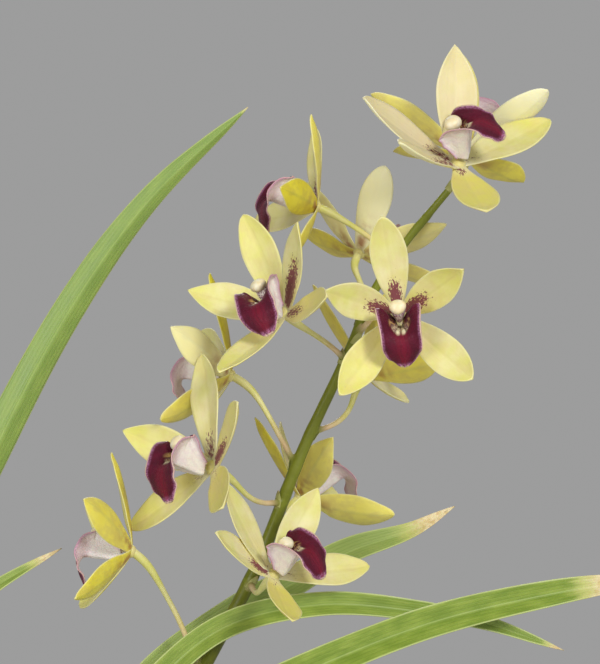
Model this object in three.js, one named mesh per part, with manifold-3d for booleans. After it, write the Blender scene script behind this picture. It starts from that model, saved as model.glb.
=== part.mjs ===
// Potted boat orchid: a flowering spray of twelve blooms rising out of a plain clay pot.
// Millimetres, +Z up, the viewer's side is -Y, the origin is the middle of the pot's resting face.
import * as THREE from 'three';
import { mergeVertices } from 'three/addons/utils/BufferGeometryUtils.js';
import Module from 'manifold-3d';

// ---- driving dimensions ------------------------------------------------------------------
const potHeight = 165;            // resting face to rim
const potTopRadius = 95;          // outside of the rolled rim
const potFootRadius = 64;         // outside of the resting face
const potWall = 7;                // thickness of the side
const potFloor = 10;              // thickness of the floor
const rimHeight = 24;             // depth of the rolled rim band
const rimStep = 4.5;              // how far the rim band stands out from the side
const drainRadius = 5;            // radius of each drainage hole
const headspace = 15;             // medium surface below the rim
const plantHeight = 592;          // medium surface to the tip of the highest petal
const bulbHeight = 58;            // tallest pseudobulb
const bulbRadiusShare = 0.205;    // pseudobulb half width as a share of the bed radius
const leafThickness = 1.3;        // leathery strap leaves
const leafFold = 0.16;            // depth of the fold along the midrib as a share of the width
const stemFootRadius = 5.4;       // flower stem where it leaves the medium
const stemTopRadius = 1.9;        // flower stem under the last bloom
const pedicelRadius = 1.9;        // stalk of one bloom
const hubRadius = 4.4;            // fleshy middle of a bloom where the tepals meet
const tepalThickness = 1.3;       // waxy petals and sepals
const sepalWidthShare = 0.34;     // widest part of a sepal against its length
const petalWidthShare = 0.32;     // the same for the two petals
const lipThickness = 1.1;         // the lip
const gap = 0.35;                 // clearance kept between separate pieces

// ---- worked-out dimensions ---------------------------------------------------------------
const growth = plantHeight / 592; // every plant coordinate below is drawn for a 592 mm plant
const bedHeight = potHeight - headspace;
const rimInnerRadius = potTopRadius - rimStep - potWall;
const sideSlope = (potTopRadius - rimStep - potFootRadius) / potHeight;
const bedRadius = rimInnerRadius - headspace * sideSlope;
const bulbRadius = bedRadius * bulbRadiusShare;

// ---- colours -----------------------------------------------------------------------------
const paint = {
  clay: new THREE.MeshStandardMaterial({ color: 0xb0623f, roughness: 0.85, metalness: 0 }),
  bark: new THREE.MeshStandardMaterial({ color: 0x5a3d28, roughness: 0.95, metalness: 0 }),
  bulb: new THREE.MeshStandardMaterial({ color: 0x7f9440, roughness: 0.5, metalness: 0 }),
  leaf: new THREE.MeshStandardMaterial({ color: 0x4f7d2c, roughness: 0.45, metalness: 0 }),
  stem: new THREE.MeshStandardMaterial({ color: 0x7c8a33, roughness: 0.5, metalness: 0 }),
  sheath: new THREE.MeshStandardMaterial({ color: 0xb9ac6a, roughness: 0.7, metalness: 0 }),
  tepal: new THREE.MeshStandardMaterial({ color: 0xe6df7e, roughness: 0.45, metalness: 0 }),
  lip: new THREE.MeshStandardMaterial({ color: 0x8a2142, roughness: 0.5, metalness: 0 }),
  column: new THREE.MeshStandardMaterial({ color: 0xf0e2b8, roughness: 0.4, metalness: 0 }),
};

// ---- solid helpers -----------------------------------------------------------------------
const V = (x = 0, y = 0, z = 0) => new THREE.Vector3(x, y, z);
const rad = THREE.MathUtils.degToRad;
const lerp = THREE.MathUtils.lerp;

// Drops faces with no area, and turns a closed surface so that it faces outward.
function facingOut(geometry) {
  const corner = (i) => V().fromBufferAttribute(geometry.attributes.position, i);
  const index = geometry.index.array;
  const faces = [];
  let volume = 0;
  for (let i = 0; i < index.length; i += 3) {
    const [a, b, c] = index.slice(i, i + 3);
    if (a === b || b === c || c === a) continue;
    volume += corner(a).dot(corner(b).cross(corner(c)));
    faces.push([a, b, c]);
  }
  geometry.setIndex(faces.map(([a, b, c]) => (volume < 0 ? [a, c, b] : [a, b, c])).flat());
  geometry.computeVertexNormals();
  return geometry;
}

// A closed surface from shared points and triangles.
function solid(points, faces) {
  const geometry = new THREE.BufferGeometry();
  const flat = points.flatMap((p) => [p.x, p.y, p.z]);
  geometry.setAttribute('position', new THREE.Float32BufferAttribute(flat, 3));
  geometry.setIndex(faces.flat());
  return facingOut(geometry);
}

// A blade: every station is a row of upper points that shares both edges with a lower row.
function blade(stations, tip) {
  const points = [];
  const faces = [];
  const upper = [];
  const lower = [];
  for (const station of stations) {
    const row = station.upper.map((p) => points.push(p) - 1);
    const under = station.lower.map((p) => points.push(p) - 1);
    upper.push(row);
    lower.push([row[0], ...under, row[row.length - 1]]);
  }
  const last = stations.length - 1;
  const across = upper[0].length - 1;
  for (let i = 0; i < last; i += 1) {
    for (let j = 0; j < across; j += 1) {
      faces.push([upper[i][j], upper[i][j + 1], upper[i + 1][j + 1]]);
      faces.push([upper[i][j], upper[i + 1][j + 1], upper[i + 1][j]]);
      faces.push([lower[i][j], lower[i + 1][j + 1], lower[i][j + 1]]);
      faces.push([lower[i][j], lower[i + 1][j], lower[i + 1][j + 1]]);
    }
  }
  for (let j = 0; j < across; j += 1) {
    if (j < across - 1) faces.push([upper[0][j], lower[0][j + 1], upper[0][j + 1]]);
    if (j > 0) faces.push([upper[0][j], lower[0][j], lower[0][j + 1]]);
  }
  const end = points.push(tip) - 1;
  for (let j = 0; j < across; j += 1) {
    faces.push([upper[last][j], upper[last][j + 1], end]);
    faces.push([lower[last][j + 1], lower[last][j], end]);
  }
  return solid(points, faces);
}

// One row of a blade: a folded or cupped strip of a given width and thickness.
function bladeRow(centre, across, facing, width, rise, thickness) {
  const at = (a, b) => centre.clone().addScaledVector(across, a).addScaledVector(facing, b);
  const w = width / 2;
  return {
    upper: [at(-w, rise), at(-w * 0.4, thickness / 2), at(w * 0.4, thickness / 2), at(w, rise)],
    lower: [at(-w * 0.4, -thickness / 2), at(w * 0.4, -thickness / 2)],
  };
}

// A round stalk along a smooth path, with its own radius at every named point.
function stalk(path, radii, sides, steps) {
  const curve = new THREE.CatmullRomCurve3(path, false, 'centripetal');
  const points = [];
  const faces = [];
  let side = null;
  for (let i = 0; i <= steps; i += 1) {
    const t = i / steps;
    const centre = curve.getPointAt(t);
    const along = curve.getTangentAt(t).normalize();
    if (side === null) side = Math.abs(along.y) < 0.8 ? V(0, 1, 0) : V(1, 0, 0);
    side = side.clone().addScaledVector(along, -side.dot(along)).normalize();
    const other = along.clone().cross(side);
    const place = t * (radii.length - 1);
    const k = Math.min(Math.floor(place), radii.length - 2);
    const r = lerp(radii[k], radii[k + 1], place - k);
    for (let j = 0; j < sides; j += 1) {
      const a = (2 * Math.PI * j) / sides;
      const p = centre.clone().addScaledVector(side, r * Math.cos(a));
      points.push(p.addScaledVector(other, r * Math.sin(a)));
    }
  }
  for (let i = 0; i < steps; i += 1) {
    for (let j = 0; j < sides; j += 1) {
      const a = i * sides + j;
      const b = i * sides + ((j + 1) % sides);
      faces.push([a, b, b + sides], [a, b + sides, a + sides]);
    }
  }
  for (let j = 1; j < sides - 1; j += 1) {
    const e = steps * sides;
    faces.push([0, j + 1, j], [e, e + j, e + j + 1]);
  }
  return solid(points, faces);
}

// ---- joining solids ----------------------------------------------------------------------
const wasm = await Module();
wasm.setup();

function toManifold(geometry) {
  const vertProperties = new Float32Array(geometry.attributes.position.array);
  const triVerts = new Uint32Array(geometry.index.array);
  return new wasm.Manifold(new wasm.Mesh({ numProp: 3, vertProperties, triVerts }));
}

function toGeometry(manifold) {
  const mesh = manifold.getMesh();
  const geometry = new THREE.BufferGeometry();
  const positions = new THREE.Float32BufferAttribute(mesh.vertProperties, 3);
  geometry.setAttribute('position', positions);
  geometry.setIndex(Array.from(mesh.triVerts));
  geometry.computeVertexNormals();
  return geometry;
}

const plant = new THREE.Group();
plant.name = 'potted_orchid';

function add(name, geometry, material) {
  const mesh = new THREE.Mesh(geometry, material);
  mesh.name = name;
  plant.add(mesh);
}

// ---- pot and growing medium --------------------------------------------------------------
// Turned about the upright axis; the profile starts and ends on it.
function turned(profile, sides) {
  const outline = profile.map(([r, z]) => new THREE.Vector2(r, z));
  const geometry = new THREE.LatheGeometry(outline, sides).rotateX(Math.PI / 2);
  geometry.deleteAttribute('normal');
  geometry.deleteAttribute('uv');
  return facingOut(mergeVertices(geometry, 1e-4));
}

const rimLow = potHeight - rimHeight;
const sideAt = (z) => potFootRadius + sideSlope * z;
const potShell = toManifold(turned([
  [0, 0],
  [potFootRadius - 2, 0],
  [sideAt(2), 2],
  [sideAt(rimLow - 3), rimLow - 3],
  [sideAt(rimLow) + rimStep - 1, rimLow],
  [potTopRadius - 1, rimLow + 4],
  [potTopRadius, potHeight - 4],
  [potTopRadius - 3, potHeight],
  [rimInnerRadius + 2, potHeight],
  [rimInnerRadius, potHeight - 3],
  [sideAt(potFloor) - potWall, potFloor],
  [0, potFloor],
], 40));
const drains = [];
for (const corner of [45, 135, 225, 315]) {
  const depth = potFloor + 4;
  const hole = new THREE.CylinderGeometry(drainRadius, drainRadius, depth, 12).rotateX(Math.PI / 2);
  hole.deleteAttribute('normal');
  hole.deleteAttribute('uv');
  const reach = potFootRadius * 0.55;
  const a = rad(corner);
  hole.translate(reach * Math.cos(a), reach * Math.sin(a), potFloor / 2);
  drains.push(toManifold(mergeVertices(hole, 1e-4)));
}
add('pot', toGeometry(potShell.subtract(wasm.Manifold.union(drains))), paint.clay);

const bedFoot = potFloor + gap;
const clear = gap * 1.1;
const innerAt = (z) => sideAt(z) - potWall + (rimInnerRadius - sideAt(potHeight - 3) + potWall)
  * ((z - potFloor) / (potHeight - 3 - potFloor));
add('growing_medium', turned([
  [0, bedFoot],
  [innerAt(bedFoot) - clear, bedFoot],
  [innerAt(bedHeight - 3) - clear, bedHeight - 3],
  [innerAt(bedHeight) - 3, bedHeight],
  [0, bedHeight],
], 40), paint.bark);

// ---- pseudobulbs -------------------------------------------------------------------------
// Places are shares of the bed radius; each bulb is a flattened egg with a cut top.
const bulbs = {
  left: { at: [-0.53, 0.05], size: 1.0, turn: 80 },
  front: { at: [0.2, -0.3], size: 1.0, turn: 10 },
  back: { at: [0.02, 0.52], size: 0.94, turn: -15 },
  right: { at: [0.66, 0.18], size: 0.88, turn: 60 },
};
const bulbProfile = [[0, 0], [0.62, 0], [0.92, 0.16], [1, 0.38], [0.86, 0.62], [0.58, 0.84], [0.4, 1],
  [0, 1]];
let bulbCount = 0;
for (const bulb of Object.values(bulbs)) {
  bulbCount += 1;
  const height = bulbHeight * bulb.size;
  const shape = bulbProfile.map(([r, z]) => [r * bulbRadius * bulb.size, z * height]);
  const geometry = turned(shape, 14);
  geometry.scale(1, 0.78, 1);
  geometry.rotateZ(rad(bulb.turn));
  bulb.x = bulb.at[0] * bedRadius;
  bulb.y = bulb.at[1] * bedRadius;
  bulb.top = bedHeight + gap + height;
  geometry.translate(bulb.x, bulb.y, bedHeight + gap);
  add(`pseudobulb_${bulbCount}`, geometry, paint.bulb);
}

// ---- leaves ------------------------------------------------------------------------------
// start: where the leaf leaves its bulb, beside the bulb's middle.
// path: points above the medium surface that the midrib passes through.
// turn: how far the blade is rolled about its midrib at the foot and near the tip, degrees.
// slim: share of its width that a broad leaf keeps at the foot. blunt: below 1 for a fuller tip.
const leaves = [
  { bulb: 'left', start: [5, 2], width: 18, turn: [0, 74],
    path: [[-40, 2, 150], [-28, 0, 250], [-5, -2, 335], [20, -2, 392], [57, -3, 460], [95, -4, 512],
      [144, -5, 558]] },
  { bulb: 'front', start: [-3, 5], width: 13.4, turn: [0, -72],
    path: [[10, -15, 100], [31, -16, 160], [61, -16, 222], [105, -16, 279], [135, -15, 301], [181, -14, 311],
      [225, -12, 308], [260, -11, 302], [301, -10, 288]] },
  { bulb: 'front', start: [4, -1], width: 17, turn: [0, -74], slim: 0.94, blunt: 0.45,
    path: [[36, -27, 140], [62, -31, 192], [102, -32, 238], [140, -31, 264], [173, -31, 280], [235, -30, 304],
      [295, -28, 318], [333, -26, 324]] },
  { bulb: 'back', start: [0, -3], width: 19.5, turn: [0, -70], slim: 0.72,
    path: [[22, 32, 150], [56, 26, 216], [98, 20, 272], [140, 17, 304], [165, 16, 318], [195, 15, 335],
      [227, 14, 346], [248, 13, 358]] },
  { bulb: 'left', start: [-1, 4], width: 11, turn: [0, -60],
    path: [[-56, 4, 150], [-54, -8, 210], [-38, -16, 264], [-11, -18, 297], [20, -16, 320], [52, -14, 339]] },
  { bulb: 'right', start: [2, -1], width: 17, turn: [0, 12],
    path: [[86, 15, 142], [130, 20, 198], [185, 27, 232], [240, 34, 236], [285, 42, 200]] },
  { bulb: 'right', start: [4, -6], width: 16, turn: [0, -10],
    path: [[92, -8, 122], [135, -40, 165], [185, -74, 176], [232, -104, 148]] },
  { bulb: 'right', start: [0, 6], width: 16, turn: [0, 12],
    path: [[84, 48, 136], [122, 88, 190], [165, 128, 206], [208, 165, 184]] },
  { bulb: 'back', start: [2, 5], width: 17, turn: [0, 14],
    path: [[8, 76, 150], [10, 122, 214], [12, 172, 236], [14, 222, 212], [16, 260, 166]] },
  { bulb: 'back', start: [-6, 2], width: 16, turn: [0, -12],
    path: [[-38, 66, 150], [-76, 104, 220], [-118, 142, 250], [-162, 174, 234], [-200, 200, 186]] },
  { bulb: 'left', start: [-8, -2], width: 17, turn: [0, 14],
    path: [[-84, 0, 146], [-127, -6, 212], [-172, -12, 238], [-216, -18, 216], [-252, -22, 164]] },
  { bulb: 'left', start: [-2, -6], width: 16, turn: [0, -10],
    path: [[-72, -36, 136], [-108, -79, 184], [-145, -122, 194], [-180, -160, 160]] },
  { bulb: 'front', start: [0, -7.5], width: 16, turn: [0, 10],
    path: [[20, -64, 136], [30, -112, 180], [42, -160, 184], [54, -204, 146]] },
];
const leafShape = [[0, 0.5], [0.06, 0.55], [0.14, 0.68], [0.24, 0.85], [0.34, 0.95], [0.45, 1], [0.56, 1],
  [0.66, 0.96], [0.76, 0.87], [0.85, 0.72], [0.93, 0.47]];
const up = V(0, 0, 1);
let leafCount = 0;
for (const leaf of leaves) {
  leafCount += 1;
  const bulb = bulbs[leaf.bulb];
  const foot = V(...leaf.start).multiplyScalar(growth);
  foot.add(V(bulb.x, bulb.y, bulb.top + gap + leafThickness / 2));
  const path = [foot];
  for (const [x, y, z] of leaf.path) {
    path.push(V(x, y, z).multiplyScalar(growth).add(V(0, 0, bedHeight)));
  }
  const curve = new THREE.CatmullRomCurve3(path, false, 'centripetal');
  const stations = leafShape.map(([t, share]) => {
    const along = curve.getTangentAt(t);
    const level = along.clone().cross(up).normalize();
    const face = level.clone().cross(along).normalize();
    const roll = rad(lerp(leaf.turn[0], leaf.turn[1], Math.min(t / 0.45, 1)));
    const across = level.clone().multiplyScalar(Math.cos(roll)).addScaledVector(face, Math.sin(roll));
    const facing = across.clone().cross(along);
    const slim = lerp(leaf.slim ?? 1, 1, Math.min(t / 0.45, 1));
    const fullness = t > 0.45 ? share ** (leaf.blunt ?? 1) : share;
    const width = leaf.width * growth * slim * fullness;
    return bladeRow(curve.getPointAt(t), across, facing, width, width * leafFold, leafThickness);
  });
  const name = `leaf_${String(leafCount).padStart(2, '0')}`;
  add(name, blade(stations, curve.getPointAt(1)), paint.leaf);
}

// ---- flower stem -------------------------------------------------------------------------
// The stem leaves the medium between the bulbs and leans out to the right, then nods.
const stemFoot = V(-0.2 * bedRadius, 0.13 * bedRadius, bedHeight - 6);
const stemPath = [stemFoot];
for (const [x, y, z] of [[2, 10, 44], [24, 8, 94], [53, 6, 150], [86, 3, 211], [122, 0, 279], [148, -1, 328],
  [171, 0, 386], [193, 1, 433], [208, 0, 468], [223, 0, 491], [236, -1, 507], [246, -5, 519]]) {
  stemPath.push(V(x, y, z).multiplyScalar(growth).add(V(0, 0, bedHeight)));
}
const stemCurve = new THREE.CatmullRomCurve3(stemPath, false, 'centripetal');
const stemRadius = (t) => lerp(stemFootRadius, stemTopRadius, Math.pow(t, 1.3));

// ---- blooms ------------------------------------------------------------------------------
// at: the middle of the bloom, above the medium surface.
// faces: compass turn from the viewer (right positive) and tilt upward; roll: lean to its left.
// lip: how far the lip is raised from its usual place, degrees.
// tepals: [angle round the bloom from its own top, how far it closes forward, turn of its blade].
// lipSize: the lip's size against the rest of the bloom, where it is smaller.
// stem: where on the stem's length its stalk leaves; via: points the stalk bends through.
const blooms = [
  { at: [87, -22, 338], faces: [-90, 13], roll: 10, size: 50, stem: 0.53,
    tepals: [[-8, 24], [66, 32], [-61, 37], [131, 22], [-128, 23]],
    via: [[108, -6, 308], [98, -15, 324]] },
  { at: [157, -38, 328], faces: [40, 38], roll: 24, lip: 12, size: 52, stem: 0.62,
    tepals: [[-16, 30], [67, 28], [-52, 27], [120, 11], [-125, 27]],
    via: [[148, -14, 316]] },
  { at: [127, -35, 380], faces: [-54, 18], roll: 11, lip: 5, size: 58, stem: 0.693,
    tepals: [[-8, 12], [70, 25], [-67, 23], [125, 21], [-115, 6]],
    via: [[152, -9, 360], [144, -18, 364]] },
  { at: [170, 44, 361], faces: [100, 43], roll: 13, size: 52, stem: 0.7,
    tepals: [[-9, 10], [60, 26], [-54, 33], [122, 22], [-126, 28, 35]],
    via: [[162, 22, 357]] },
  { at: [135, 12, 424], faces: [-102, 16], roll: -1, size: 52, stem: 0.725,
    tepals: [[-7, 27], [66, 31], [-69, 36], [124, 19], [-115, 21]],
    via: [[162, 4, 390], [150, 9, 411]] },
  { at: [162, -32, 455], faces: [-39, 27], roll: 31, size: 54, stem: 0.825,
    tepals: [[2, 24], [66, 41], [-55, 20], [130, 29], [-148, 33]],
    via: [[183, -12, 441]] },
  { at: [218, -42, 454], faces: [-2, -4], roll: 7, size: 52, stem: 0.845,
    tepals: [[-2, 22], [60, 41], [-61, 42], [136, 31], [-134, 29]],
    via: [[214, -18, 461]] },
  { at: [200, 20, 486], faces: [135, 42], roll: 24, size: 50, stem: 0.86,
    tepals: [[-11, 25], [70, 24], [-71, 26], [112, 15], [-128, 24]],
    via: [[202, 10, 470]] },
  { at: [178, 8, 509], faces: [-74, 18], roll: -20, size: 52, stem: 0.92,
    tepals: [[15, 25], [74, 36], [-50, 8], [108, 15], [-123, 17]],
    via: [[206, 4, 493], [192, 8, 502]] },
  { at: [248, -15, 529], faces: [11, 49], roll: 67, lip: 12, lipSize: 0.87, size: 62, stem: 1,
    tepals: [[-17, 33], [68, 47], [-58, 34], [125, 2], [-114, 16]],
    via: [] },
  { at: [255, 35, 538], faces: [-179, 58], roll: -72, size: 56, stem: 0.965,
    tepals: [[0, 27], [62, 28], [-62, 58], [145, 13], [-114, 9]],
    via: [[248, 18, 520]] },
  { at: [204, 20, 424], faces: [105, 35], roll: -20, lip: 20, size: 52, stem: 0.757,
    tepals: [[-12, 2], [62, 30], [-62, 30], [107, 21], [-118, 25]],
    via: [[190, 9, 400], [198, 16, 411]] },
];

function bloomFrame(bloom) {
  const a = rad(bloom.faces[0]);
  const e = rad(bloom.faces[1]);
  const r = rad(bloom.roll);
  const front = V(Math.sin(a) * Math.cos(e), -Math.cos(a) * Math.cos(e), Math.sin(e));
  const upright = up.clone().addScaledVector(front, -front.z).normalize();
  const level = upright.clone().cross(front);
  const top = upright.clone().multiplyScalar(Math.cos(r)).addScaledVector(level, -Math.sin(r));
  const side = level.clone().multiplyScalar(Math.cos(r)).addScaledVector(upright, Math.sin(r));
  const centre = V(...bloom.at).multiplyScalar(growth).add(V(0, 0, bedHeight));
  const place = (s, u, f) => centre.clone().addScaledVector(side, s).addScaledVector(top, u)
    .addScaledVector(front, f);
  return { front, top, side, centre, place };
}

const tepalShape = [[0, 0.34], [0.16, 0.52], [0.34, 0.8], [0.55, 1], [0.75, 0.9], [0.91, 0.5]];
const tepalCup = 0.13;

function tepal(frame, angle, close, turn, length, width) {
  const a = rad(angle);
  const out = frame.top.clone().multiplyScalar(Math.cos(a)).addScaledVector(frame.side, Math.sin(a));
  const across = frame.side.clone().multiplyScalar(Math.cos(a)).addScaledVector(frame.top, -Math.sin(a));
  const start = frame.centre.clone().addScaledVector(out, 1.6);
  const steps = 22;
  const line = [start];
  for (let i = 0; i < steps; i += 1) {
    const bend = rad(close - 8 + (17 * (i + 0.5)) / steps);
    const step = out.clone().multiplyScalar(Math.cos(bend)).addScaledVector(frame.front, Math.sin(bend));
    line.push(line[i].clone().addScaledVector(step, length / steps));
  }
  const at = (t) => {
    const k = Math.min(Math.floor(t * steps), steps - 1);
    return line[k].clone().lerp(line[k + 1], t * steps - k);
  };
  const stations = tepalShape.map(([t, share]) => {
    const bend = rad(close - 8 + 17 * t);
    const facing = out.clone().multiplyScalar(-Math.sin(bend)).addScaledVector(frame.front, Math.cos(bend));
    const roll = rad(turn * Math.min(t / 0.3, 1));
    const side = across.clone().multiplyScalar(Math.cos(roll)).addScaledVector(facing, Math.sin(roll));
    facing.multiplyScalar(Math.cos(roll)).addScaledVector(across, -Math.sin(roll));
    const w = width * share;
    return bladeRow(at(t), side, facing, w, w * tepalCup * Math.min(t * 3, 1), tepalThickness);
  });
  return blade(stations, line[steps]);
}

// The lip: a trough with two raised side lobes, then a broad middle lobe curling down.
// Each row is [forward, up, half width, rise of the edges].
const lipRows = [
  [4.4, -5.8, 2.4, 1.2],
  [9, -7.2, 6.4, 6.8],
  [15, -7.2, 8.8, 9.2],
  [20.5, -6.4, 8.4, 7],
  [24, -8, 8, 3.2],
  [25, -12, 9.6, 0.6],
  [22.8, -17.2, 9.6, -1],
  [18.8, -21.2, 6, -1],
];
const lipTip = [15.4, -23];

function lip(frame, k, raise) {
  const cos = Math.cos(rad(raise)) * k;
  const sin = Math.sin(rad(raise)) * k;
  const lifted = (s, u, f) => frame.place(s * k, u * cos + f * sin, f * cos - u * sin);
  const stations = lipRows.map(([f, u, half, rise], i) => {
    const before = lipRows[Math.max(i - 1, 0)];
    const after = lipRows[Math.min(i + 1, lipRows.length - 1)];
    const run = new THREE.Vector2(after[0] - before[0], after[1] - before[1]).normalize();
    const at = (s, lift) => lifted(s, u + run.x * lift, f - run.y * lift);
    const t = lipThickness / 2;
    return {
      upper: [at(-half, rise), at(-half * 0.66, t), at(half * 0.66, t), at(half, rise)],
      lower: [at(-half * 0.66, -t), at(half * 0.66, -t)],
    };
  });
  return blade(stations, lifted(0, lipTip[1], lipTip[0]));
}

// The hub: a low double cone with eight sides round the bloom's axis.
function hubSolid(frame, hub) {
  const points = [frame.place(0, 0, hub * 0.8), frame.place(0, 0, -hub * 0.8)];
  const faces = [];
  for (let j = 0; j < 8; j += 1) {
    const a = (j * Math.PI) / 4;
    points.push(frame.place(hub * Math.cos(a), hub * Math.sin(a), 0));
    faces.push([0, j + 2, ((j + 1) % 8) + 2], [1, ((j + 1) % 8) + 2, j + 2]);
  }
  return solid(points, faces);
}

let bloomCount = 0;
const stemParts = [stalk(stemPath, [0, 0.2, 0.4, 0.6, 0.8, 1].map(stemRadius), 8, 20)];
for (const bloom of blooms) {
  bloomCount += 1;
  const frame = bloomFrame(bloom);
  const size = bloom.size * growth;
  const k = size / 54;
  const hub = hubRadius * k;
  const name = `bloom_${String(bloomCount).padStart(2, '0')}`;

  const heart = toManifold(hubSolid(frame, hub));
  const parts = bloom.tepals.map(([angle, close, turn = 0], i) => {
    const isPetal = i === 1 || i === 2;
    const long = isPetal ? size * 0.95 : size;
    const wide = size * (isPetal ? petalWidthShare : sepalWidthShare);
    return toManifold(tepal(frame, angle, close, turn, long, wide));
  });
  add(`${name}_tepals`, toGeometry(wasm.Manifold.union([heart, ...parts])), paint.tepal);
  add(`${name}_lip`, lip(frame, k * (bloom.lipSize ?? 1), bloom.lip ?? 0), paint.lip);
  const columnPath = [frame.place(0, 0.4 * k, hub * 0.8 + gap + 0.6), frame.place(0, 3.4 * k, 10.5 * k),
    frame.place(0, 6 * k, 16 * k), frame.place(0, 6.6 * k, 21.5 * k)];
  add(`${name}_column`, stalk(columnPath, [2.2 * k, 2.4 * k, 2.7 * k, 2.2 * k], 6, 5), paint.column);

  const back = frame.centre.clone().addScaledVector(frame.front, -(hub + gap));
  const lead = frame.centre.clone().addScaledVector(frame.front, -(hub + gap + 5 * growth));
  const way = [stemCurve.getPointAt(bloom.stem)];
  for (const [x, y, z] of bloom.via) {
    way.push(V(x, y, z).multiplyScalar(growth).add(V(0, 0, bedHeight)));
  }
  way.push(lead, back);
  stemParts.push(stalk(way, [pedicelRadius, pedicelRadius * 0.94, pedicelRadius], 6, 7));
}
const grown = wasm.Manifold.union(stemParts.map(toManifold));
add('flower_stem', toGeometry(grown.trimByPlane([0, 0, 1], bedHeight + gap)), paint.stem);

// ---- sheaths -----------------------------------------------------------------------------
// Papery bracts that hug the lower stem: an arc of shell, open at the back, drawn to a point.
const sheathSkin = 0.9;
const sheaths = [
  { from: 0.04, to: 0.15, middle: -90 },
  { from: 0.2, to: 0.32, middle: 90 },
  { from: 0.36, to: 0.46, middle: -70 },
];

// A point beside the stem: how far along it, the compass angle round it, the distance out.
function besideStem(t, angle, reach) {
  const along = stemCurve.getTangentAt(t);
  const side = V(0, 1, 0).addScaledVector(along, -along.y).normalize();
  const other = along.clone().cross(side);
  const centre = stemCurve.getPointAt(t).addScaledVector(side, reach * Math.cos(angle));
  return centre.addScaledVector(other, reach * Math.sin(angle));
}

let sheathCount = 0;
for (const sheath of sheaths) {
  sheathCount += 1;
  const snug = stemRadius(sheath.from) + gap;
  const middle = rad(sheath.middle);
  const stations = [0, 0.2, 0.4, 0.6, 0.75, 0.9].map((s) => {
    const t = lerp(sheath.from, sheath.to, s);
    const half = rad(lerp(125, 30, s * s));
    const inner = snug / Math.cos(half / 8) + 1.8 * s * s;
    const arc = [-4, -3, -2, -1, 0, 1, 2, 3, 4].map((u) => middle + (u / 4) * half);
    const ends = [arc[0], arc[8]].map((a) => besideStem(t, a, inner + sheathSkin / 2));
    const between = arc.slice(1, 8);
    return {
      upper: [ends[0], ...between.map((a) => besideStem(t, a, inner + sheathSkin)), ends[1]],
      lower: between.map((a) => besideStem(t, a, inner)),
    };
  });
  const tip = besideStem(sheath.to, middle, snug + 3.2);
  add(`sheath_${sheathCount}`, blade(stations, tip), paint.sheath);
}

export default plant;
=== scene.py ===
# %% [markdown]
# # A potted boat orchid
#
# The plant is one flower stem with twelve blooms, thirteen strap leaves, four pseudobulbs, bark and
# a clay pot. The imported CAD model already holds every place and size. This script loads it as a
# fixed frame, dresses each part in a finer piece at the same place, and gives each one its finish.

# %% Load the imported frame
import math
import bpy
import numpy as np
from mathutils import Matrix, Vector
from mathutils.kdtree import KDTree


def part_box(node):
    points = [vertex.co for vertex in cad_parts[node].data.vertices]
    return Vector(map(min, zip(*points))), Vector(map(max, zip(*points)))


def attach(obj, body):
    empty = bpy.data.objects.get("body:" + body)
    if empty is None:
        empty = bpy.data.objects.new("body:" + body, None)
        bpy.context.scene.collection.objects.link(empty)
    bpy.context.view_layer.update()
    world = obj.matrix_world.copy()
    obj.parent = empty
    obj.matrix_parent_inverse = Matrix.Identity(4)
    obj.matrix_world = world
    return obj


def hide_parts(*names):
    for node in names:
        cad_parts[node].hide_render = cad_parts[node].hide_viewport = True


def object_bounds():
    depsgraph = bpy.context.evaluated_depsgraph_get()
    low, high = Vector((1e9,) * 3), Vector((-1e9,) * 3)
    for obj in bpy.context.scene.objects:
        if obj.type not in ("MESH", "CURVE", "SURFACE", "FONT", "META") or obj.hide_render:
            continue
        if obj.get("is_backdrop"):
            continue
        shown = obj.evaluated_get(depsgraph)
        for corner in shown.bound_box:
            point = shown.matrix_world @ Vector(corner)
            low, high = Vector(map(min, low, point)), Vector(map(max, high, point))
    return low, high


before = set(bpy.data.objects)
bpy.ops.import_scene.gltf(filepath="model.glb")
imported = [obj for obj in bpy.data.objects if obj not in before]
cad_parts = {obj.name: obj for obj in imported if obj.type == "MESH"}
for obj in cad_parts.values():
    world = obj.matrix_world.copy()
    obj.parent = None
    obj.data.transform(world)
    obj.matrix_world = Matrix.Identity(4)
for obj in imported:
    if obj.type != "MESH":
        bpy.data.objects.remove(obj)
cad_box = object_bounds()
MM = 0.001
print("frame:", len(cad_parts), "nodes, box", cad_box)

# %% [markdown]
# ## Where things are
#
# Heights in the lists below are above the surface of the growing medium, in millimetres, because
# that is how a grower would measure the plant. The medium's own height comes from the frame.

# %% Heights and places that the frame gives
BED_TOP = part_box("growing_medium")[1][2] / MM
POT_LOW, POT_HIGH = (np.array(corner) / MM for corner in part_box("pot"))
BULB_BOXES = {name: [np.array(corner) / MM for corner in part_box(f"pseudobulb_{number}")]
              for number, name in enumerate(("left", "front", "back", "right"), 1)}
print("medium top at", round(BED_TOP, 1), "mm; pot", POT_LOW.round(1), POT_HIGH.round(1))


# %% A smooth curve through named points
def soft_join(start, leave, end, arrive, s):
    """Cubic from start to end at shares s, with the given slopes at both ends."""
    return (start * (2 * s**3 - 3 * s**2 + 1) + leave * (s**3 - 2 * s**2 + s)
            + end * (3 * s**2 - 2 * s**3) + arrive * (s**3 - s**2))


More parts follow.
